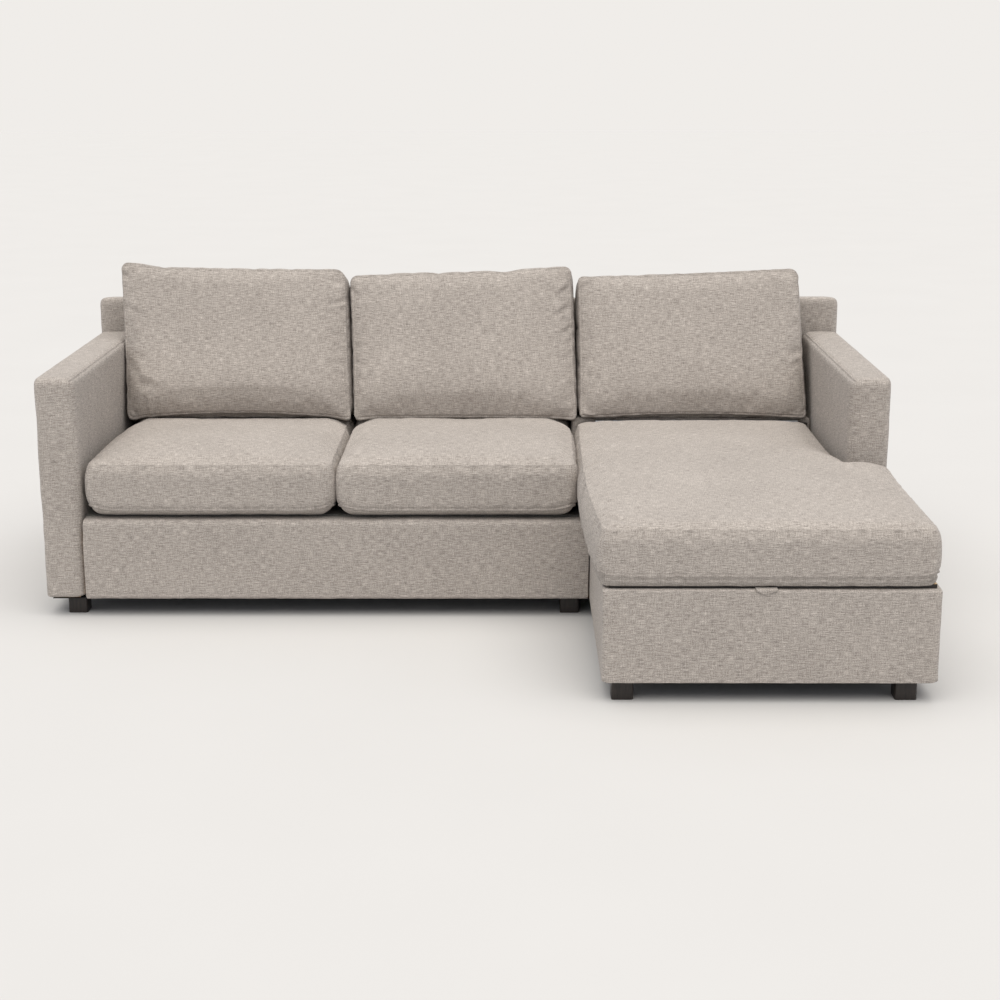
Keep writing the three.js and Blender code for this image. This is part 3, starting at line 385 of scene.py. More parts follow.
def lattice_values(cells, seed):
    """A fixed pseudo-random number from -1 to 1 for each whole-numbered cell."""
    mixed = np.bitwise_xor.reduce(cells * CELL_FACTORS, axis=1) ^ seed * SEED_FACTOR
    mixed = (mixed ^ (mixed >> STIR_SHIFTS[0])) * STIR_FACTOR & LARGEST_MIXED
    return (mixed ^ (mixed >> STIR_SHIFTS[1])) % RANDOM_STEPS / (RANDOM_STEPS / 2) - 1


def smooth_noise(points, length, seed):
    """Smooth noise from -1 to 1 over points, with bumps about one length across."""
    scaled = points / length
    base = np.floor(scaled).astype(np.int64)
    share = scaled - base
    share = share * share * (3 - 2 * share)
    total = np.zeros(len(points))
    for corner in range(8):
        bits = np.array([corner & 1, corner >> 1 & 1, corner >> 2])
        weight = np.where(bits, share, 1 - share).prod(axis=1)
        total += weight * lattice_values(base + bits, seed)
    return total


def graded_lines(*places):
    """Lines through the given places, fine beside each and growing to coarse cells between them."""
    lines = [np.array(places[:1])]
    for start, end in zip(places, places[1:]):
        steps, reach, step = [], 0.0, SEAM_CELL
        while step < PANEL_CELL and 2 * (reach + step) < end - start:
            steps.append(step)
            reach += step
            step *= CELL_GROWTH
        count = max(1, round((end - start - 2 * reach) / PANEL_CELL))
        middle = [(end - start - 2 * reach) / count] * count
        lines.append(start + np.cumsum(steps + middle + steps[::-1]))
    return np.concatenate(lines)


def all_cells(columns, rows):
    return np.ones((len(columns) - 1, len(rows) - 1), bool)


# Meshes

def new_object(name, data):
    item = bpy.data.objects.new(name, data)
    bpy.context.scene.collection.objects.link(item)
    return item


def mesh_object(name, points, faces, material):
    mesh = bpy.data.meshes.new(name)
    mesh.from_pydata([tuple(point) for point in points], [], [tuple(face) for face in faces])
    mesh.shade_smooth()
    mesh.materials.append(material)
    return new_object(name, mesh)


def ring_faces(rings, size, closed=False):
    """Faces between neighbouring rings of points, and from the last to the first where closed."""
    faces = []
    for ring in range(rings if closed else rings - 1):
        first, second = ring * size, (ring + 1) % rings * size
        for step in range(size):
            after = (step + 1) % size
            faces.append((first + step, second + step, second + after, first + after))
    return faces


def set_values(piece, name, values):
    attribute = piece.data.attributes.new(name, "FLOAT", "POINT")
    attribute.data.foreach_set("value", np.asarray(values, np.float32))


def get_values(piece, name):
    values = np.zeros(len(piece.data.vertices), np.float32)
    piece.data.attributes[name].data.foreach_get("value", values)
    return values.astype(float)


def get_points(piece):
    vertices = piece.data.vertices
    points = np.zeros(len(vertices) * 3)
    vertices.foreach_get("co", points)
    return points.reshape(-1, 3)


def set_points(piece, points):
    piece.data.vertices.foreach_set("co", np.asarray(points, np.float32).ravel())
    piece.data.update()


def get_normals(piece):
    normals = np.zeros(len(piece.data.vertices) * 3)
    piece.data.vertex_normals.foreach_get("vector", normals)
    return normals.reshape(-1, 3)


def subdivide(piece):
    """One finer, rounded mesh in place of the piece's own."""
    modifier = piece.modifiers.new("finer", "SUBSURF")
    modifier.levels = 1
    bpy.context.view_layer.update()
    depsgraph = bpy.context.evaluated_depsgraph_get()
    finer = bpy.data.meshes.new_from_object(piece.evaluated_get(depsgraph))
    piece.modifiers.clear()
    coarse, piece.data = piece.data, finer
    bpy.data.meshes.remove(coarse)
    finer.shade_smooth()


def panel_strips(filled):
    """Edges of the filled cells that border on no other, each as ((i, j), (i, j)) and in order round them."""
    padded = np.pad(filled, 1)
    strips = []
    for i, j in zip(*np.nonzero(filled)):
        if not padded[i + 1, j]:
            strips.append(((i, j), (i + 1, j)))
        if not padded[i + 2, j + 1]:
            strips.append(((i + 1, j), (i + 1, j + 1)))
        if not padded[i + 1, j + 2]:
            strips.append(((i + 1, j + 1), (i, j + 1)))
        if not padded[i, j + 1]:
            strips.append(((i, j + 1), (i, j)))
    return strips


def boxed_grid(columns, rows, rings, filled):
    """Two gridded panels joined by the rings of a side.

    Gives the nominal (column, row, ring) place of each vertex, the panel that it lies in
    (-1 lower, 0 side, 1 upper) and the faces.
    """
    touching = np.zeros((len(columns), len(rows)), int)
    for i in (0, 1):
        for j in (0, 1):
            touching[i:len(columns) - 1 + i, j:len(rows) - 1 + j] += filled
    border = (touching > 0) & (touching < 4)
    top = len(rings) - 1
    used = np.stack([touching > 0 if ring in (0, top) else border for ring in range(top + 1)])
    number = np.where(used, np.cumsum(used).reshape(used.shape) - 1, -1)
    ring, i, j = np.nonzero(used)
    place = np.stack([columns[i], rows[j], rings[ring]], axis=1)
    panel = np.where(ring == top, 1, np.where(ring == 0, -1, 0))
    panel[border[i, j]] = 0
    a, b = np.nonzero(filled)
    upper = np.stack([number[top, a, b], number[top, a + 1, b],
                      number[top, a + 1, b + 1], number[top, a, b + 1]], axis=1)
    lower = np.stack([number[0, a, b], number[0, a, b + 1],
                      number[0, a + 1, b + 1], number[0, a + 1, b]], axis=1)
    sides = [(number[k, *start], number[k, *end], number[k + 1, *end], number[k + 1, *start])
             for start, end in panel_strips(filled) for k in range(top)]
    return place, panel, np.concatenate([upper, lower, np.array(sides)])


# Plans: outlines run anticlockwise as seen from above

def rectangle_corners(left, front, right, rear):
    return np.array([(left, front), (right, front), (right, rear), (left, rear)])


def edges_of(outline):
    return zip(outline, np.roll(outline, -1, axis=0))


def nearest_edge(points, outline):
    """Distance from each point to the outline, and the place there."""
    gap = np.full(len(points), np.inf)
    place = np.zeros_like(points)
    for start, end in edges_of(outline):
        share = clamp((points - start) @ (end - start) / np.sum((end - start) ** 2))
        foot = start + share[:, None] * (end - start)
        distance = np.hypot(*(points - foot).T)
        closer = distance < gap
        gap = np.where(closer, distance, gap)
        place = np.where(closer[:, None], foot, place)
    return gap, place


def round_corners(points, outline, radii):
    """Grid points beside each outward corner of the outline, moved onto arcs round it."""
    points = points.copy()
    neighbours = (np.roll(outline, 1, axis=0), outline, np.roll(outline, -1, axis=0))
    for before, corner, after, radius in zip(*neighbours, np.broadcast_to(radii, len(outline))):
        one, other = np.sign(before - corner), np.sign(after - corner)
        if one[0] * other[1] - one[1] * other[0] > 0:
            continue
        inward = one + other
        left = 1 - (points - corner) * inward / radius
        near = (left > 0).all(axis=1) & (left < 1 + ROUNDING_ERROR).all(axis=1)
        scale = left[near].max(axis=1) / np.hypot(*left[near].T)
        points[near] = corner + inward * radius * (1 - left[near] * scale[:, None])
    return points


def draw_in(points, outline, insets, draw=0.0):
    """Points moved inwards by each edge's inset at that edge, and by up to draw more between its corners."""
    moved = points.copy()
    for (start, end), inset in zip(edges_of(outline), insets):
        length = np.hypot(*(end - start))
        along = (end - start) / length
        inward = np.array([-along[1], along[0]])
        share = (points - start) @ along / length
        beyond = np.maximum(np.maximum(-share, share - 1), 0) * length
        fade = clamp(1 - np.hypot((points - start) @ inward, beyond) / DRAW_REACH) ** 2
        moved += inward * ((inset + draw * arch(share)) * fade)[:, None]
    return moved


def side_nearness(gap):
    """1 at a cushion's side, falling to 0 away from it."""
    return bell(gap, PINCH_WIDTH)


def foot_nearness(y, length=PINCH_LENGTH):
    """1 at the back cushions' foot, falling to 0 ahead of it and behind it."""
    return bell(y - BACK_FOOT_Y, length)


def fullness(points, rectangles, reach):
    """Rise from 0 at the sides to 1, in the fuller of the rectangles that a plan is made of."""
    total = np.zeros(len(points))
    for left, front, right, rear in rectangles:
        across = smooth_rise((points[:, 0] - left) / reach) * smooth_rise((right - points[:, 0]) / reach)
        along = smooth_rise((points[:, 1] - front) / reach) * smooth_rise((rear - points[:, 1]) / reach)
        total += (across * along) ** FULLNESS_BLEND
    return clamp(total ** (1 / FULLNESS_BLEND))


# Soft covers

def stand_in(piece, node, body):
    """The piece takes the place of a CAD node and moves with its body."""
    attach(piece, body)
    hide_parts(node)


def remember_seams(piece, gap, place, size=1.0):
    """Keeps each vertex's distance to its nearest seam, that seam's relative size and the place on it."""
    set_values(piece, "seam_gap", gap)
    set_values(piece, "seam_size", np.broadcast_to(size, len(gap)))
    for axis, values in zip("xyz", place.T):
        set_values(piece, "seam_" + axis, values)


def fill_out(piece, held, cap):
    """The filling presses the cover outwards, by at most the cap, between the places that are held."""
    before = get_points(piece)
    group = piece.vertex_groups.new(name="held")
    group.add([int(index) for index in np.nonzero(held)[0]], 1.0, "REPLACE")
    modifier = piece.modifiers.new("filling", "CLOTH")
    cloth = modifier.settings
    cloth.vertex_group_mass = group.name
    cloth.quality = CLOTH_STEPS
    cloth.use_pressure = True
    cloth.uniform_pressure_force = CLOTH_PRESSURE
    cloth.shrink_min = -COVER_EASE
    cloth.bending_stiffness = CLOTH_BENDING
    cloth.effector_weights.gravity = 0.0
    modifier.collision_settings.use_collision = False
    modifier.point_cache.frame_start = 1
    modifier.point_cache.frame_end = CLOTH_FRAMES
    for number in range(1, CLOTH_FRAMES + 1):
        bpy.context.scene.frame_set(number)
    depsgraph = bpy.context.evaluated_depsgraph_get()
    moved = get_points(piece.evaluated_get(depsgraph)) - before
    piece.modifiers.clear()
    piece.vertex_groups.clear()
    bpy.context.scene.frame_set(1)
    distance = np.linalg.norm(moved, axis=1, keepdims=True)
    set_points(piece, before + moved * np.minimum(1, cap / np.maximum(distance, cap)))


def crease_depth(points, creases):
    """Valleys pressed into the front of a cushion, each with a low fold above it."""
    total = np.zeros(len(points))
    front = points[:, [0, 2]]
    for start, end, width, depth in creases:
        start, end = np.array(start), np.array(end)
        share = (front - start) @ (end - start) / np.sum((end - start) ** 2)
        offset = front - start - clamp(share)[:, None] * (end - start)
        side = (end - start)[0] * (front - start)[:, 1] - (end - start)[1] * (front - start)[:, 0]
        distance = np.hypot(*offset.T)
        fold = np.where(side > 0, bell(distance - 2 * width, width), 0.0)
        ends = mix(CREASE_END_SHARE, 1, arch(0.5 + (clamp(share) - 0.5) * CREASE_TAPER))
        total += depth * ends * (FOLD_SHARE * fold - bell(distance, width))
    return total


def sew(piece, low, high, seed, creases=()):
    """Seam ridges, the gathers beside them, creases and unevenness, kept within the given corners."""
    subdivide(piece)
    points, normals = get_points(piece), get_normals(piece)
    gap = get_values(piece, "seam_gap")
    seam = np.stack([get_values(piece, "seam_" + axis) for axis in "xyz"], axis=1)
    size = get_values(piece, "seam_size")
    ridge = size * SEAM_RIDGE * bell(gap, SEAM_RIDGE_WIDTH)
    dip = size * SEAM_DIP * bell(gap - SEAM_DIP_WIDTH, SEAM_RIDGE_WIDTH)
    gathers = PUCKER_HEIGHT * smooth_noise(seam, PUCKER_LENGTH, seed) * np.exp(-gap / PUCKER_REACH)
    gathers *= PUCKER_VARIATION * (1 + smooth_noise(seam, PUCKER_SPREAD, seed + 1))
    uneven = UNEVENNESS * smooth_noise(points, UNEVENNESS_LENGTH, seed + 2) * clamp(gap / UNEVENNESS_LENGTH)
    uneven += RUMPLE * smooth_noise(points, RUMPLE_LENGTH, seed + 3) * clamp(gap / RUMPLE_LENGTH)
    pressed = crease_depth(points, creases) * (normals[:, 1] < -FRONT_FACING)
    points = points + normals * (ridge - dip + gathers + uneven + pressed)[:, None]
    set_points(piece, np.clip(points, low, high))
    for axis in "xyz":
        piece.data.attributes.remove(piece.data.attributes["seam_" + axis])


# Procedural materials

class Shading:
    """One procedural material, built node by node."""

    def __init__(self, name, roughness, metallic=0.0):
        self.material = bpy.data.materials.new(name)
        self.material.use_nodes = True
        self.tree = self.material.node_tree
        self.shader = self.tree.nodes["Principled BSDF"]
        self.surface("Roughness", roughness)
        self.surface("Metallic", metallic)
        coordinates = self.node("TexCoord").outputs
        self.place = coordinates["Object"]
        self.facing = coordinates["Normal"]

    def put(self, socket, value):
        if isinstance(value, bpy.types.NodeSocket):
            self.tree.links.new(value, socket)
        else:
            socket.default_value = value

    def surface(self, name, value):
        """Sets one of the surface's own inputs."""
        self.put(self.shader.inputs[name], value)

    def node(self, kind, *values):
        """A new node with the values at its first inputs."""
        node = self.tree.nodes.new("ShaderNode" + kind)
        for socket, value in zip(node.inputs, values):
            self.put(socket, value)
        return node

    def math(self, operation, *values):
        node = self.node("Math", *values)
        node.operation = operation
        return node.outputs[0]

    def product(self, first, second):
        return self.math("MULTIPLY", first, second)

    def split(self, vector):
        return self.node("SeparateXYZ", vector).outputs

    def join(self, *values):
        return self.node("CombineXYZ", *values).outputs[0]

    def noise(self, vector, detail=PLAIN_DETAIL):
        node = self.node("TexNoise", vector)
        self.put(node.inputs["Scale"], 1.0)
        self.put(node.inputs["Detail"], detail)
        return node.outputs["Fac"]

    def patches(self, *lengths, detail=PLAIN_DETAIL):
        """Noise with patches of the given lengths along X, Y and Z, or of one length along all."""
        parts = [self.math("DIVIDE", part, length)
                 for part, length in zip(self.split(self.place), lengths * 3)]
        return self.noise(self.join(*parts), detail)

    def layered(self, first, second, share):
        """Two layers mixed, the first with the given share."""
        return self.math("ADD", self.product(first, share), self.product(second, 1 - share))

    def ramp(self, value, *stops):
        node = self.node("ValToRGB", value)
        marks = node.color_ramp.elements
        while len(marks) < len(stops):
            marks.new(1.0)
        for mark, (position, colour) in zip(marks, stops):
            mark.position = position
            mark.color = (*colour, 1.0)
        return node.outputs["Color"]

    def blend(self, share, first, second, kind="MIX"):
        colours = [(*colour, 1.0) if isinstance(colour, tuple) else colour for colour in (first, second)]
        node = self.node("MixRGB", share, *colours)
        node.blend_type = kind
        return node.outputs[0]

    def attribute(self, name):
        node = self.node("Attribute")
        node.attribute_name = name
        return node.outputs["Fac"]

    def bump(self, height, depth):
        node = self.node("Bump")
        for name, value in (("Height", height), ("Distance", depth), ("Strength", 1.0)):
            self.put(node.inputs[name], value)
        self.surface("Normal", node.outputs[0])


def cloth_axes(shading):
    """Coordinates along the weft and the warp: the cloth lies in the plane that it faces."""
    across, back, up = shading.split(shading.place)
    sizes = [shading.math("ABSOLUTE", part) for part in shading.split(shading.facing)]
    on_top = shading.math("GREATER_THAN", sizes[2], shading.math("MAXIMUM", sizes[0], sizes[1]))
    on_side = shading.math("GREATER_THAN", sizes[0], shading.math("MAXIMUM", sizes[1], sizes[2]))
    turned = shading.product(on_side, shading.math("SUBTRACT", back, across))
    laid = shading.product(on_top, shading.math("SUBTRACT", back, up))
    return shading.math("ADD", across, turned), shading.math("ADD", up, laid)


def heathered_weave():
    """Linen-look weave: slubs along the weft and the warp, over a cloudy ground."""
    shading = Shading("heathered_weave", WEAVE_ROUGHNESS)
    weft, warp = cloth_axes(shading)

    def stretched(along, across, offset):
        parts = (shading.math("DIVIDE", weft, along), shading.math("DIVIDE", warp, across), offset)
        return shading.noise(shading.join(*parts), detail=YARN_DETAIL)

    slubs = stretched(SLUB_LENGTH, SLUB_WIDTH, 0.0)
    heather = shading.product(slubs, WEFT_SHARE)
    for layer, share in (
        (stretched(SLUB_WIDTH, SLUB_LENGTH, WARP_OFFSET), WARP_SHARE),
        (stretched(FLECK_SIZE, FLECK_SIZE, FLECK_OFFSET), FLECK_SHARE),
        (shading.patches(CLOUD_SIZE), CLOUD_SHARE),
    ):
        heather = shading.math("MULTIPLY_ADD", layer, share, heather)
    yarn = shading.ramp(heather, (YARN_LOW, YARN_DARK), (YARN_MIDDLE, YARN_GREY), (YARN_HIGH, YARN_LIGHT))
    # Painted shade: the colour darkens beside each seam, more at bolder seams, for the shadow along the
    # seam's groove.
    gap = shading.math("DIVIDE", shading.attribute("seam_gap"), SEAM_SHADE_REACH)
    near = shading.math("SUBTRACT", 1.0, shading.math("MINIMUM", gap, 1.0))
    darker = shading.product(near, shading.attribute("seam_size"))
    shade = shading.math("MULTIPLY_ADD", darker, -SEAM_SHADE, 1.0)
    shading.surface("Base Color", shading.blend(1.0, yarn, shade, "MULTIPLY"))
    turn = 2 * math.pi / YARN_PITCH
    over = shading.math("SINE", shading.product(weft, turn))
    under = shading.math("SINE", shading.product(warp, turn))
    knots = shading.product(over, under)
    relief = shading.math("ADD", shading.product(knots, WEAVE_SHARE), slubs)
    shading.bump(relief, WEAVE_DEPTH)
    shading.surface("Sheen Weight", WEAVE_SHEEN)
    shading.surface("Sheen Roughness", SHEEN_ROUGHNESS)
    shading.surface("Specular IOR Level", WEAVE_SPECULAR)
    return shading.material


def sawn_wood(name, dark, light, grain, depth, shaded_in_gap=False):
    """Sawn wood with rings and fibres; where shaded_in_gap, its edges and upright parts get a painted
    black-brown shade, for the shadow in the gap under the cushion.
    """
    shading = Shading(name, WOOD_ROUGHNESS)
    rings = shading.patches(*grain, detail=RING_DETAIL)
    fibres = shading.patches(*(length / FIBRE_FINENESS for length in grain))
    colour = shading.ramp(shading.layered(rings, fibres, GRAIN_SHARE), *zip(WOOD_MARKS, (dark, light)))
    if shaded_in_gap:
        # Painted shade: upright faces and all above the riser height turn black-brown, for the shadow in the
        # gap under the chaise cushion.
        level = shading.math("GREATER_THAN", shading.math("ABSOLUTE", shading.split(shading.facing)[2]), 0.5)
        low = shading.math("LESS_THAN", shading.split(shading.place)[2], LID_RISER_Z)
        unshaded = shading.product(level, low)
        colour = shading.blend(unshaded, PAINTED_GAP_SHADE, colour)
    shading.surface("Base Color", colour)
    shading.bump(fibres, depth)
    return shading.material


def stained_beech():
    shading = Shading("stained_beech", BEECH_ROUGHNESS)
    fibres = shading.patches(*BEECH_GRAIN, detail=FIBRE_DETAIL)
    rubbed = shading.patches(*BEECH_WEAR)
    tone = shading.layered(fibres, rubbed, GRAIN_SHARE)
    shading.surface("Base Color", shading.ramp(tone, *zip(BEECH_MARKS, BEECH)))
    uneven = shading.math("MULTIPLY_ADD", rubbed, BEECH_WEAR_ROUGHNESS, BEECH_ROUGHNESS)
    shading.surface("Roughness", uneven)
    shading.bump(fibres, BEECH_RELIEF)
    return shading.material


def matted_cloth(name, dark, light, pitch, depth):
    """Felt or spun cloth: short tangled fibres with fine dimples."""
    shading = Shading(name, CLOTH_ROUGHNESS)
    fibres = shading.patches(pitch, pitch * FIBRE_STRETCH, pitch, detail=FIBRE_DETAIL)
    patches = shading.patches(CLOTH_PATCH)
    tone = shading.layered(fibres, patches, FIBRE_SHARE)
    shading.surface("Base Color", shading.ramp(tone, *zip(CLOTH_MARKS, (dark, light))))
    shading.bump(fibres, depth)
    return shading.material


def metal(name, dark, light, roughness, patch, streak):
    """Plated, oiled or painted steel with drawn streaks and faint patches."""
    shading = Shading(name, roughness, metallic=1.0)
    patches = shading.patches(patch, detail=FIBRE_DETAIL)
    streaks = shading.patches(streak, patch, streak)
    shading.surface("Base Color", shading.ramp(patches, *zip(METAL_MARKS, (dark, light))))
    uneven = shading.math("MULTIPLY_ADD", streaks, STREAK_ROUGHNESS, roughness - STREAK_ROUGHNESS / 2)
    shading.surface("Roughness", uneven)
    shading.bump(streaks, STREAK_RELIEF)
    return shading.material


fabric = heathered_weave()
pines = [sawn_wood("pine_along_" + axis, *PINE, grain, PINE_RELIEF)
         for axis, grain in zip("xyz", PINE_GRAINS)]
birch = sawn_wood("birch_plywood", *BIRCH, BIRCH_GRAIN, BIRCH_RELIEF)
# Birch whose edges carry painted shade, for the gap under the chaise cushion.
birch_with_painted_shade = sawn_wood("birch_with_painted_shade", *BIRCH, BIRCH_GRAIN, BIRCH_RELIEF, shaded_in_gap=True)
beech = stained_beech()
felt = matted_cloth("needled_felt", *FELT)
spun_cloth = matted_cloth("spun_cloth", *SPUN_CLOTH)
zinc = metal("bright_zinc", *ZINC)
oiled_wire = metal("oiled_wire", *OILED_WIRE)
satin_black = metal("satin_black", *SATIN_BLACK)


# Seat and chaise cushions

def seat_form(name, body, seed, outline, columns, rows, filled, sides, crown, seam_fall,
              seam_rise=LOWER_SEAM_RISE, belly_reach=BELLY_REACH, corner_lift=CORNER_LIFT,
              hem=0.0, welt=0.0):
    """A boxed cushion: crowned upper panel, sides that pull in at the seams, lower panel rolled up in front.

    crown(place) is the share of the full crown, seam_fall(place) how far the upper seam and the panel beside
    it lie below the seam's height, and sides give how far each edge of the outline is set in along Y. hem is
    how far the cover hangs down beside the edge of a board under it. welt is how far a second seam lies above
    the lower one.
    """
    low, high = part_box(name)
    side_height = SEAT_SEAM - low.z - seam_rise
    rings = graded_lines(*sorted({0.0, welt, side_height})) / side_height
    place, panel, faces = boxed_grid(columns, rows, rings, filled)
    share = place[:, 2]
    gap, foot = nearest_edge(place[:, :2], outline)

    from_front = place[:, 1] - low.y
    from_side = np.minimum(place[:, 0] - low.x, high.x - place[:, 0])
    lift = clamp(1 - from_front / CORNER_LIFT_REACH) ** 2 * clamp(1 - from_side / CORNER_LIFT_REACH) ** 2
    rise = seam_rise + corner_lift * lift
    lower_seam = low.z + rise
    upper_seam = SEAT_SEAM - seam_fall(place)
    height = mix(lower_seam, upper_seam, share)
    top = upper_seam + SHOULDER * eased(gap / SHOULDER_REACH) + SEAT_CROWN * crown(place)
    hang = hem * arch(gap / HEM_WIDTH) * clamp((high.y - place[:, 1]) / HEM_FADE)
    height = np.where(panel > 0, top, height)
    height = np.where(panel < 0, lower_seam - rise * eased(gap / belly_reach) - hang, height)

    upper = share > 0.5
    to_seam = np.minimum(share, 1 - share) * (upper_seam - lower_seam)
    slack = clamp(1 - to_seam / SEAM_EDGE) ** 2
    plan = round_corners(place[:, :2], outline, CUSHION_CORNER)
    seam_inset = np.where(upper, UPPER_INSET, LOWER_INSET) * slack
    plan = draw_in(plan, outline, [side(place[:, 1]) + seam_inset for side in sides])

    piece = mesh_object(name + "_cover", np.column_stack([plan, height]), faces, fabric)
    seam = np.column_stack([foot, np.where(upper, upper_seam, lower_seam)])
    seam_size = np.where(upper, TOP_SEAM_SIZE, LOWER_SEAM_SIZE)
    side_gap = np.minimum(to_seam, np.abs(share * side_height - welt)) if welt else to_seam
    remember_seams(piece, np.where(panel == 0, side_gap, gap), seam, seam_size)
    resting = (panel < 0) & (gap > belly_reach / 2) | (panel > 0) & (place[:, 1] > BACK_FOOT_Y)
    at_seam = (panel != 0) & (gap < HELD_REACH) | (to_seam == 0)
    fill_out(piece, at_seam | resting, SEAT_CAP)
    low.z -= hem
    high.z += SEAT_PROUD
    low.x -= CENTRE_BULGE
    high.x += CENTRE_BULGE
    sew(piece, low, high, seed)
    stand_in(piece, name, body)


def straight(y):
    """A side that isn't set in."""
    return np.zeros_like(y)


def dented(y):
    """A side that is dented beside the back cushions' foot."""
    return SIDE_DENT * foot_nearness(y)


def beside_arm(y):
    """The side beside the left arm, which the cushion touches only half-way along."""
    return ARM_SIDE_INSET + ARM_SIDE_DENT * foot_nearness(y, ARM_SIDE_DENT_LENGTH)


def beside_chaise(y):
    """The side beside the chaise, which bulges ahead of the back cushions' foot."""
    return SIDE_DENT * foot_nearness(y) - CENTRE_BULGE * arch((BACK_FOOT_Y - y) / BACK_FOOT_Y)


def seat_cushion(name, body, seed, left_side, right_side):
    low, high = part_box(name)
    outline = rectangle_corners(low.x, low.y, high.x, high.y)
    columns = graded_lines(low.x, high.x)
    rows = graded_lines(low.y, high.y)
    rectangles = [(low.x, low.y, high.x, high.y + CROWN_REACH)]

    def crown(place):
        ahead = arch(clamp((place[:, 1] - low.y) / (BACK_FOOT_Y - low.y)) ** SEAT_CROWN_SKEW)
        return ahead * fullness(place[:, :2], rectangles, CROWN_REACH)

    def seam_fall(place):
        beside = np.minimum(place[:, 0] - low.x, high.x - place[:, 0])
        pinch = PINCH_DEPTH * side_nearness(beside) * foot_nearness(place[:, 1])
        return pinch + SEAT_REAR_FALL * clamp((place[:, 1] - BACK_FOOT_Y) / (high.y - BACK_FOOT_Y))

    sides = (straight, right_side, straight, left_side)
    seat_form(name, body, seed, outline, columns, rows, all_cells(columns, rows), sides, crown, seam_fall)


def chaise_cushion(name, body, seed):
    low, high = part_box(name)
    outline = np.array([
        (low.x, low.y), (high.x, low.y), (high.x, NOTCH_Y),
        (NOTCH_X, NOTCH_Y), (NOTCH_X, high.y), (low.x, high.y),
    ])
    columns = graded_lines(low.x, NOTCH_X, high.x)
    rows = graded_lines(low.y, NOTCH_Y, high.y)
    in_column = columns[:-1] > NOTCH_X - SEAM_CELL / 2
    in_row = rows[:-1] > NOTCH_Y - SEAM_CELL / 2
    filled = ~(in_column[:, None] & in_row[None, :])
    rectangles = [(low.x, low.y, NOTCH_X, high.y + CROWN_REACH), (low.x, low.y, high.x, NOTCH_Y)]

    def crown(place):
        along = arch((place[:, 1] - low.y) / (BACK_FOOT_Y - low.y))
        return along * fullness(place[:, :2], rectangles, CROWN_REACH)

    def seam_fall(place):
        drop = CHAISE_REAR_DROP * (1 - rounded_rise((high.y - place[:, 1]) / CHAISE_REAR_REACH))
        from_notch = np.hypot(place[:, 0] - NOTCH_X, place[:, 1] - NOTCH_Y)
        return drop - NOTCH_RISE * bell(from_notch, NOTCH_SPREAD)

    def bowed(y):
        taper = CHAISE_TAPER * (1 - smooth_rise((y - low.y) / CHAISE_TAPER_REACH))
        return CHAISE_BOW * (1 - arch((y - low.y) / (high.y - low.y))) + taper

    def along_arm(y):
        return NOTCH_SIDE_INSET * smooth_rise((y - NOTCH_Y) / NOTCH_SPREAD)

    sides = (straight, straight, straight, along_arm, straight, bowed)
    seat_form(name, body, seed, outline, columns, rows, filled, sides, crown, seam_fall,
              CHAISE_SEAM_RISE, CHAISE_BELLY_REACH, CHAISE_CORNER_LIFT, CHAISE_HEM, CHAISE_WELT)


# Back cushions

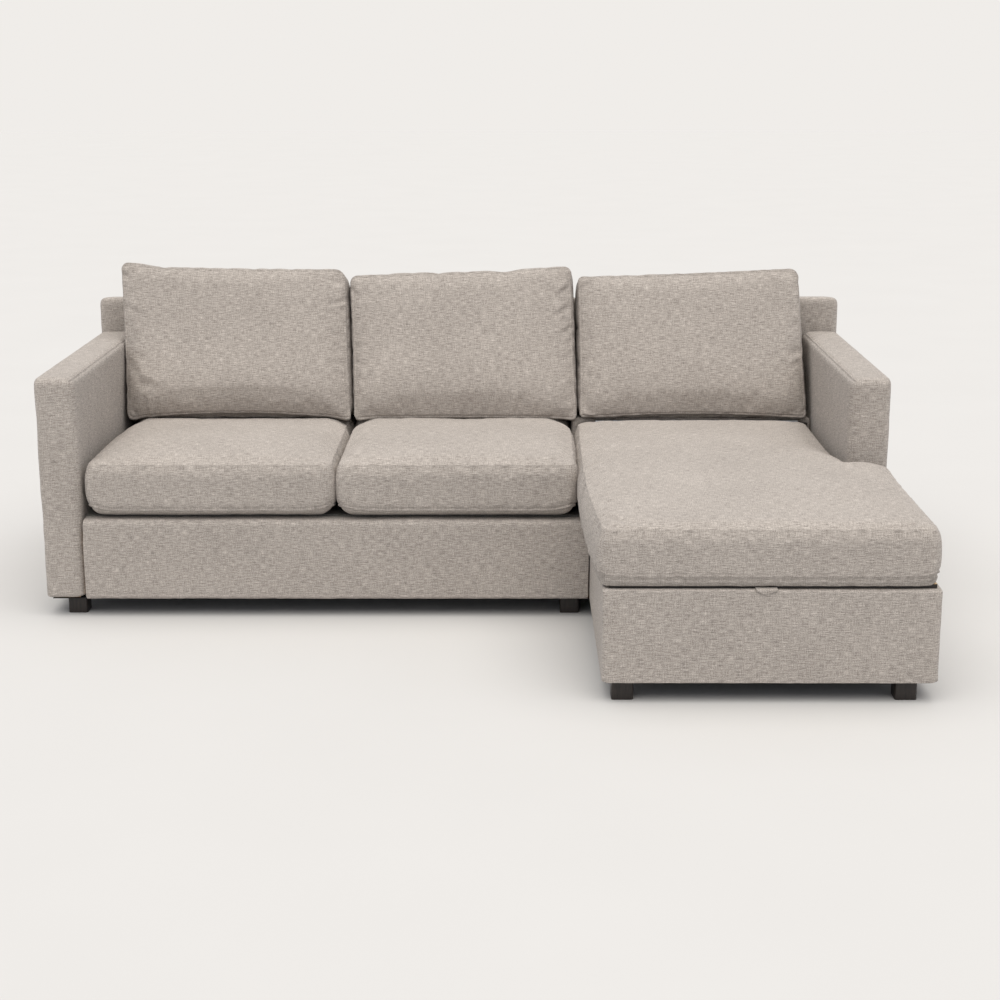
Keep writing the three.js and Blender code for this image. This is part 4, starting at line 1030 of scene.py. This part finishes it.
def back_cushion(name, body, seed, foot, shift, rise, corners, belly, creases, bumps=(),
                 roll=0.0, droop=0.0, drop=FOOT_DROP):
    """A boxed cushion that stands on the seat and leans back.

    foot, shift and rise are for its left and right side, and corners are radii from the lower left one on.
    belly is how far its lower part swells, bumps are (place, height, spread) in shares and metres along the
    upper edge, roll lifts the lower front seam off the seat, droop lets the foot sag behind that seam, and
    drop lets its corners sag.
    """
    low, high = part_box(name)
    width = foot[1] - foot[0]
    length = max(rise) - BACK_FOOT_Z
    columns = graded_lines(0.0, width)
    rows = graded_lines(0.0, length)
    rings = graded_lines(0.0, BACK_TOP_DEPTH) / BACK_TOP_DEPTH
    place, panel, faces = boxed_grid(columns, rows, rings, all_cells(columns, rows))
    outline = rectangle_corners(0.0, 0.0, width, length)
    forward = place[:, 2]
    slack = 1 - arch(forward)
    gap, foot_place = nearest_edge(place[:, :2], outline)
    flat = round_corners(place[:, :2], outline, corners)
    inset = mix(BACK_REAR_INSET, BACK_SEAM_INSET, forward) * slack
    flat = draw_in(flat, outline, [inset] * len(outline), BACK_DRAW * slack)

    def leaned(points, ahead):
        across, up = points[:, 0] / width, points[:, 1] / length
        corner = mix(rise[0], rise[1], across)
        stand = BACK_FOOT_Z - SEAT_REAR_FALL * BACK_FOOT_DEPTH * (1 - ahead) / (BACK_FACE_Y - BACK_FOOT_Y)
        z = mix(stand, corner - BACK_TOP_FALL * (1 - ahead), up)
        lean = (z - stand) / (corner - stand)
        x = mix(foot[0] + shift[0] * up, foot[1] + shift[1] * up, across)
        y = BACK_FOOT_Y + BACK_TOP_SHIFT * lean + mix(BACK_FOOT_DEPTH, BACK_TOP_DEPTH, lean) * (1 - ahead)
        for middle, size, spread in bumps:
            z += size * bell(across - middle, spread) * up ** 2
        behind = BACK_FOOT_DEPTH * (1 - ahead)
        low_part = clamp(1 - points[:, 1] / ROLL_REACH) ** 2
        side = side_nearness(points[:, 0]) + side_nearness(width - points[:, 0])
        rolled = 1 - np.sqrt(1 - clamp(1 - behind / ROLL_DEPTH) ** 2)
        sagged = bell(behind - FOOT_DROOP_PLACE, FOOT_DROOP_WIDTH)
        z += low_part * (roll * arch(across) * rolled - droop * sagged - drop * side * foot_nearness(y))
        return np.column_stack([x, y, z])

    points = leaned(flat, forward)
    full = fullness(place[:, :2], [(0.0, -BACK_SAG, width, length)], BACK_CROWN_REACH)
    shoulder = rounded_rise(gap / BACK_SHOULDER_REACH)
    above = np.maximum(place[:, 1] - BELLY_HEIGHT, 0)
    swell = smooth_rise(place[:, 1] / BELLY_HEIGHT) * bell(above, BELLY_FADE)
    swell *= smooth_rise(place[:, 0] / BELLY_HEIGHT) * smooth_rise((width - place[:, 0]) / BELLY_HEIGHT)
    front = panel > 0
    pressed = BACK_SEAM_SET - BACK_SHOULDER * shoulder - BACK_CROWN * full - belly * swell
    points[:, 1] += np.where(front, pressed, 0)
    points[:, 1] += np.where(front, 0, BACK_SEAM_SET * forward)
    points[:, 1] += np.where(panel < 0, BACK_REAR_CROWN * full, 0)

    piece = mesh_object(name + "_cover", points, faces, fabric)
    depth = mix(BACK_FOOT_DEPTH, BACK_TOP_DEPTH, place[:, 1] / length)
    to_seam = np.minimum(forward, 1 - forward) * depth
    seams = leaned(foot_place, np.round(forward))
    seam_size = np.where((foot_place[:, 1] == 0) & (forward > 0.5), FOOT_SEAM_SIZE, 1.0)
    remember_seams(piece, np.where(panel == 0, to_seam, gap), seams, seam_size)
    held = (to_seam == 0) & (gap == 0) | (panel != 0) & (gap < HELD_REACH) | (panel < 0)
    fill_out(piece, held, BACK_CAP)
    low -= Vector((BACK_SIDE_PROUD, BACK_PROUD, max(droop, drop)))
    high += Vector((BACK_SIDE_PROUD, 0, BACK_TOP_PROUD))
    sew(piece, low, high, seed, creases)
    stand_in(piece, name, body)


# Arms, backs, rail and base

def padded_box(name, seed, low_radii, high_radii, seam_size=0.0, stitched_x=None, top_at=None):
    """A padded block in a fabric cover, in place of the CAD node of that name.

    low_radii and high_radii round the edges of its low and high sides, along X, Y and Z. seam_size is how
    bold its upper seams are, and one along stitched_x is bolder. top_at gives its top's height at each depth.
    """
    low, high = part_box(name)
    columns = graded_lines(low.x, high.x)
    rows = graded_lines(low.y, high.y)
    rings = graded_lines(low.z, high.z)
    place, panel, faces = boxed_grid(columns, rows, rings, all_cells(columns, rows))
    radii = np.where(place < (np.array(low) + np.array(high)) / 2, low_radii, high_radii)
    core = np.clip(place, np.array(low) + low_radii, np.array(high) - high_radii)
    out = (place - core) / radii
    points = core + radii * out / np.linalg.norm(out, axis=1, keepdims=True)
    gap, seam = block_seams(place, low, high)
    if top_at:
        share = (place[:, 2] - low.z) / (high.z - low.z)
        points[:, 2] += share * (top_at(place[:, 1]) - high.z)
        high.z = max(top_at(rows))
    piece = mesh_object(name + "_padding", points, faces, fabric)
    stitched = np.abs(seam[:, 0] - stitched_x) < SEAM_CELL if stitched_x else False
    remember_seams(piece, gap, seam, np.where(stitched, ARM_SEAM_SIZE, seam_size))
    sew(piece, low, high, seed)
    stand_in(piece, name, "root")


def block_seams(place, low, high):
    """Distance to the nearest upper edge of a block, and the place there."""
    below = high.z - place[:, 2]
    gap, foot = nearest_edge(place[:, :2], rectangle_corners(low.x, low.y, high.x, high.y))
    return np.hypot(below, gap), np.column_stack([foot, np.full(len(place), high.z)])


def arc_points(centre, radius, start, end):
    angles = np.radians(np.linspace(start, end, ARC_STEPS + 1))
    return [(centre[0] + radius * math.cos(angle), centre[1] + radius * math.sin(angle)) for angle in angles]


def finer_outline(points):
    """The closed outline with its long stretches divided."""
    result = []
    for start, end in edges_of(np.array(points)):
        count = max(1, math.ceil(np.hypot(*(end - start)) / PANEL_CELL))
        result += [tuple(mix(start, end, step / count)) for step in range(count)]
    return np.array(result)


def front_rail(name, seed):
    """Padded front panel under the seat cushions, rolled over the rail's top."""
    low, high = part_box(name)
    inner = low.y + RAIL_PAD
    profile = finer_outline(
        arc_points((low.y + RAIL_FOLD, low.z + RAIL_FOLD), RAIL_FOLD, 180, 270)
        + [(inner, low.z), (inner, RAIL_SHELF), (high.y, RAIL_SHELF)]
        + arc_points((high.y - RAIL_REAR_RADIUS, high.z - RAIL_REAR_RADIUS), RAIL_REAR_RADIUS, 0, 90)
        + arc_points((low.y + RAIL_ROLL, high.z - RAIL_ROLL), RAIL_ROLL, 90, 180)
    )
    along = graded_lines(low.x, high.x)
    count = len(profile)
    points = [(x, y, z) for x in along for y, z in profile]
    faces = [(a, d, c, b) for a, b, c, d in ring_faces(len(along), count)]
    faces.append(tuple(reversed(range(count))))
    faces.append(tuple(range((len(along) - 1) * count, len(along) * count)))
    piece = mesh_object(name + "_padding", points, faces, fabric)
    points = np.array(points)
    bottom_gap = np.hypot(points[:, 1] - low.y, points[:, 2] - (low.z + FOLD_LINE))
    remember_seams(piece, bottom_gap, np.column_stack([points[:, 0], np.full((len(points), 2), low.z)]))
    sew(piece, low, high, seed)
    soften(piece, END_ROUNDING)
    stand_in(piece, name, "root")


def base_plan(low, high, inset):
    """Plan of the chaise base at an inset, with the same points at every inset."""
    inner_right = BASE_INNER_X - inset
    front_return = BASE_RETURN_Y - inset
    radius = max(BASE_CORNER - inset, SMALLEST_RADIUS)
    left, right, front, rear = low.x + inset, high.x - inset, low.y + inset, high.y - inset
    corners = (
        arc_points((left + radius, front + radius), radius, 180, 270)
        + arc_points((right - radius, front + radius), radius, 270, 360)
        + [(right, front_return), (inner_right, front_return), (inner_right, rear), (left, rear)]
    )
    return np.array(corners)


def chaise_base(name, seed):
    """Padded band round the storage box, with its top edge turned in as a lip."""
    low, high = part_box(name)
    profile = finer_outline(
        arc_points((BASE_FOLD, low.z + BASE_FOLD), BASE_FOLD, 270, 180)
        + arc_points((BASE_ROLL, high.z - BASE_ROLL), BASE_ROLL, 180, 90)
        + [(BASE_LIP_WIDTH, high.z), (BASE_LIP_WIDTH, high.z - BASE_LIP),
           (BASE_PAD, high.z - BASE_LIP), (BASE_PAD, low.z)]
    )
    outer = base_plan(low, high, 0.0)
    spans = [max(1, math.ceil(np.hypot(*(end - start)) / PANEL_CELL)) for start, end in edges_of(outer)]
    rings = []
    for inset, height in profile:
        plan = base_plan(low, high, inset)
        ring = [mix(start, end, step / count)
                for (start, end), count in zip(edges_of(plan), spans) for step in range(count)]
        rings.append(np.column_stack([ring, np.full(len(ring), height)]))
    points = np.concatenate(rings)
    outside = np.tile(rings[0][:, :2], (len(rings), 1))
    near_foot = clamp(1 - (points[:, 2] - low.z) / BASE_ROUND_FADE)
    near_top = clamp(1 - (high.z - points[:, 2]) / BASE_ROUND_FADE)
    for side in (low.x, high.x):
        away = clamp(np.hypot(points[:, 0] - side, points[:, 1] - low.y) - BASE_ROUND_START)
        points[:, 2] += near_foot * BASE_FOOT_ROUND * (1 - rounded_rise(away / BASE_FOOT_ROUND))
        points[:, 2] -= near_top * BASE_TOP_ROUND * (1 - rounded_rise(away / BASE_TOP_ROUND))
    faces = ring_faces(len(rings), len(rings[0]), closed=True)
    piece = mesh_object(name + "_padding", points, faces, fabric)
    gap = np.hypot(np.hypot(*(points[:, :2] - outside).T), points[:, 2] - (low.z + FOLD_LINE))
    remember_seams(piece, gap, np.column_stack([outside, np.full(len(points), low.z)]))
    sew(piece, low, high, seed)
    stand_in(piece, name, "root")


def chaikin(path):
    """The open path with its corners cut, round after round."""
    for _ in range(CUT_ROUNDS):
        cuts = np.stack([mix(path[:-1], path[1:], share) for share in (CORNER_CUT, 1 - CORNER_CUT)], axis=1)
        path = np.vstack([path[:1], cuts.reshape(-1, 2), path[-1:]])
    return path


def pull_tab(name, body):
    """A fabric strap from the lid's front edge, folded down and back, and shorter towards its sides."""
    low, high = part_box(name)
    middle, half = (low.x + high.x) / 2, (high.x - low.x) / 2
    half_strap = TAB_STRAP / 2
    front = low.y + half_strap
    points = []
    for share in np.linspace(-1, 1, TAB_STEPS + 1):
        side = share - TAB_LEAN
        away = abs(side) / (1 - TAB_LEAN * math.copysign(1, side))
        drop = mix(TAB_SIDE_DROP, TAB_TOP_Z - half_strap - low.z, 1 - away ** TAB_POINT)
        path = chaikin(np.array([
            (high.y, TAB_TAIL_Z),
            (TAB_FACE_Y, TAB_TOP_Z),
            (front, TAB_TOP_Z),
            (front, TAB_TOP_Z - drop),
            (TAB_FACE_Y, TAB_TOP_Z - drop),
            (TAB_FACE_Y, TAB_TOP_Z - drop * TAB_TURN_SHARE),
        ]))
        along = np.gradient(path, axis=0)
        across = np.column_stack([-along[:, 1], along[:, 0]]) / np.hypot(*along.T)[:, None] * half_strap
        ring = np.vstack([path + across, (path - across)[::-1]])
        points += [(middle + half * share, y, z) for y, z in ring]
    size = len(points) // (TAB_STEPS + 1)
    faces = ring_faces(TAB_STEPS + 1, size)
    faces.append(tuple(range(size)))
    faces.append(tuple(reversed(range(TAB_STEPS * size, (TAB_STEPS + 1) * size))))
    piece = mesh_object(name + "_strap", points, faces, fabric)
    set_values(piece, "seam_gap", np.full(len(points), TAB_STRAP))
    stand_in(piece, name, body)


def soften(piece, width):
    """Rounds a piece's sharp edges."""
    modifier = piece.modifiers.new("soft_edges", "BEVEL")
    modifier.width = width
    modifier.segments = EDGE_SEGMENTS
    modifier.limit_method = "ANGLE"
    modifier.angle_limit = SHARP_ANGLE
    modifier.harden_normals = False


# Pieces of the frame that keep their solids

def dress(names, material, rounding):
    for name in names:
        node = nodes[name]
        node.data.materials.clear()
        node.data.materials.append(material)
        soften(node, rounding)


def named(*starts):
    return [name for name in nodes if name.startswith(starts)]


boards = [name for name in named("box_") if name != "box_floor_board"] + ["base_rear_board"]
for board in boards + [name for name in nodes if name.endswith("_frame")]:
    low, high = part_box(board)
    sides = list(high - low)
    dress([board], pines[sides.index(max(sides))], BOARD_EDGE)
dress(["box_floor_board"], birch, PLYWOOD_EDGE)
# The lid board's edges and riser carry painted shade.
dress(["lid_board"], birch_with_painted_shade, PLYWOOD_EDGE)
dress(["seat_deck_pad"], felt, DECK_PAD_EDGE)
dress(named("sofa_dust", "chaise_dust"), spun_cloth, DUST_COVER_EDGE)
dress(named("foot_"), beech, FOOT_EDGE)
dress(named("seat_springs"), oiled_wire, WIRE_EDGE)
dress(named("hinge_", "connector_", "strut_rod", "strut_base", "strut_lid"), zinc, FITTING_EDGE)
dress(named("strut_tube"), satin_black, TUBE_EDGE)


def back_top(y):
    """The backs fall a little to the rear."""
    low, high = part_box("sofa_back_cover")
    return high.z - BACK_REAR_FALL * clamp((y - low.y) / (high.y - low.y))


def arm_top(y):
    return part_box("arm_left_cover")[1].z + ARM_PROUD * np.ones_like(y)


def deck_top(y):
    return BACK_FOOT_Z - SEAT_REAR_FALL * (y - BACK_FOOT_Y) / (BACK_FACE_Y - BACK_FOOT_Y)


# Upholstery
for arm, seed, left_radius, right_radius, inner in (
    ("arm_left_cover", 11, ARM_OUTER_RADIUS, ARM_INNER_RADIUS, 1),
    ("arm_right_cover", 12, ARM_INNER_RADIUS, ARM_OUTER_RADIUS, 0),
):
    padded_box(arm, seed, (left_radius, ARM_FRONT_RADIUS, ARM_FOOT_RADIUS),
               (right_radius, ARM_REAR_RADIUS, ARM_TOP_RADIUS), FAINT_SEAM_SIZE,
               stitched_x=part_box(arm)[inner].x, top_at=arm_top)
padded_box("sofa_back_cover", 13, *BACK_RADII, top_at=back_top)
padded_box("chaise_back_cover", 14, *BACK_RADII, top_at=back_top)
padded_box("chaise_rear_deck", 15, *DECK_RADII, top_at=deck_top)
front_rail("front_rail_cover", 16)
chaise_base("chaise_base_cover", 17)
pull_tab("pull_tab", "chaise_lid")
seat_cushion("seat_cushion_left", "seat_left", 21, beside_arm, dented)
seat_cushion("seat_cushion_centre", "seat_centre", 22, dented, beside_chaise)
chaise_cushion("chaise_cushion", "chaise_lid", 23)
back_cushion(
    "back_cushion_left", "back_left", 31, foot=(-1.008, -0.3431), shift=(-0.0249, -0.0201),
    rise=(0.866, 0.855), corners=(0.022, 0.014, 0.034, 0.018), belly=0.026, creases=LEFT_CREASES,
    bumps=((0.04, 0.010, 0.09),), roll=0.018, droop=0.005,
)
back_cushion(
    "back_cushion_centre", "back_centre", 32, foot=(-0.3339, 0.3250), shift=(-0.0170, -0.0160),
    rise=(0.836, 0.864), corners=(0.016, 0.014, 0.022, 0.022), belly=0.017, creases=CENTRE_CREASES,
    bumps=((0.27, 0.003, 0.12), (0.70, -0.005, 0.05)),
)
back_cushion(
    "back_cushion_right", "back_right", 33, foot=(0.3330, 1.0050), shift=(-0.0051, -0.0201),
    rise=(0.833, 0.858), corners=(0.016, 0.016, 0.026, 0.018), belly=0.017, creases=RIGHT_CREASES,
    roll=0.014, droop=0.004, drop=-0.002,
)


# Studio

def studio_floor():
    mesh = bpy.data.meshes.new("studio_floor")
    half = FLOOR_SIZE / 2
    corners = rectangle_corners(-half, -half, half, half)
    mesh.from_pydata([(x, y, 0) for x, y in corners], [], [(0, 1, 2, 3)])
    floor = new_object("studio_floor", mesh)
    shading = Shading("pale_floor", roughness=1.0)
    mottle = shading.patches(FLOOR_MOTTLE_SIZE)
    darker = tuple(value - FLOOR_MOTTLE for value in FLOOR_COLOUR)
    lighter = tuple(value + FLOOR_MOTTLE for value in FLOOR_COLOUR)
    shading.surface("Base Color", shading.ramp(mottle, *zip(MOTTLE_MARKS, (darker, lighter))))
    shading.surface("Specular IOR Level", 0.0)
    mesh.materials.append(shading.material)


def soft_sun():
    """A broad, even light from high up in front."""
    light = bpy.data.lights.new("soft_sun", "SUN")
    light.energy = SUN_STRENGTH
    light.color = SUN_COLOUR
    light.angle = SUN_ANGLE
    lamp = new_object("soft_sun", light)
    lamp.rotation_euler = Vector(SUN_FROM).to_track_quat("Z", "Y").to_euler()


def pale_world():
    """A soft pale light from all round, seen as pale as the lit floor."""
    world = bpy.data.worlds.new("pale_world")
    bpy.context.scene.world = world
    world.use_nodes = True
    from_sun = SUN_STRENGTH * Vector(SUN_FROM).normalized().z / math.pi
    lit_floor = [floor * (light + from_sun * sun)
                 for floor, light, sun in zip(FLOOR_COLOUR, WORLD_LIGHT, SUN_COLOUR)]
    tree = world.node_tree
    seen = tree.nodes.new("ShaderNodeLightPath").outputs["Is Camera Ray"]
    mixer = tree.nodes.new("ShaderNodeMixRGB")
    mixer.inputs[1].default_value = (*WORLD_LIGHT, 1.0)
    mixer.inputs[2].default_value = (*lit_floor, 1.0)
    tree.links.new(seen, mixer.inputs[0])
    tree.links.new(mixer.outputs[0], tree.nodes["Background"].inputs["Color"])


def photograph_camera():
    camera = bpy.data.cameras.new("camera")
    camera.lens = CAMERA_LENS
    camera.sensor_width = SENSOR_WIDTH
    holder = new_object("camera", camera)
    forward = Vector((
        math.sin(CAMERA_YAW) * math.cos(CAMERA_PITCH),
        math.cos(CAMERA_YAW) * math.cos(CAMERA_PITCH),
        -math.sin(CAMERA_PITCH),
    ))
    level = forward.cross(Vector((0, 0, 1))).normalized()
    upright = level.cross(forward)
    right = math.cos(CAMERA_ROLL) * level + math.sin(CAMERA_ROLL) * upright
    up = math.cos(CAMERA_ROLL) * upright - math.sin(CAMERA_ROLL) * level
    turn = Matrix((right, up, -forward)).transposed().to_4x4()
    holder.matrix_world = Matrix.Translation(Vector(CAMERA_PLACE)) @ turn
    bpy.context.scene.camera = holder


bpy.context.scene.view_settings.view_transform = "Standard"
studio_floor()
soft_sun()
pale_world()
photograph_camera()
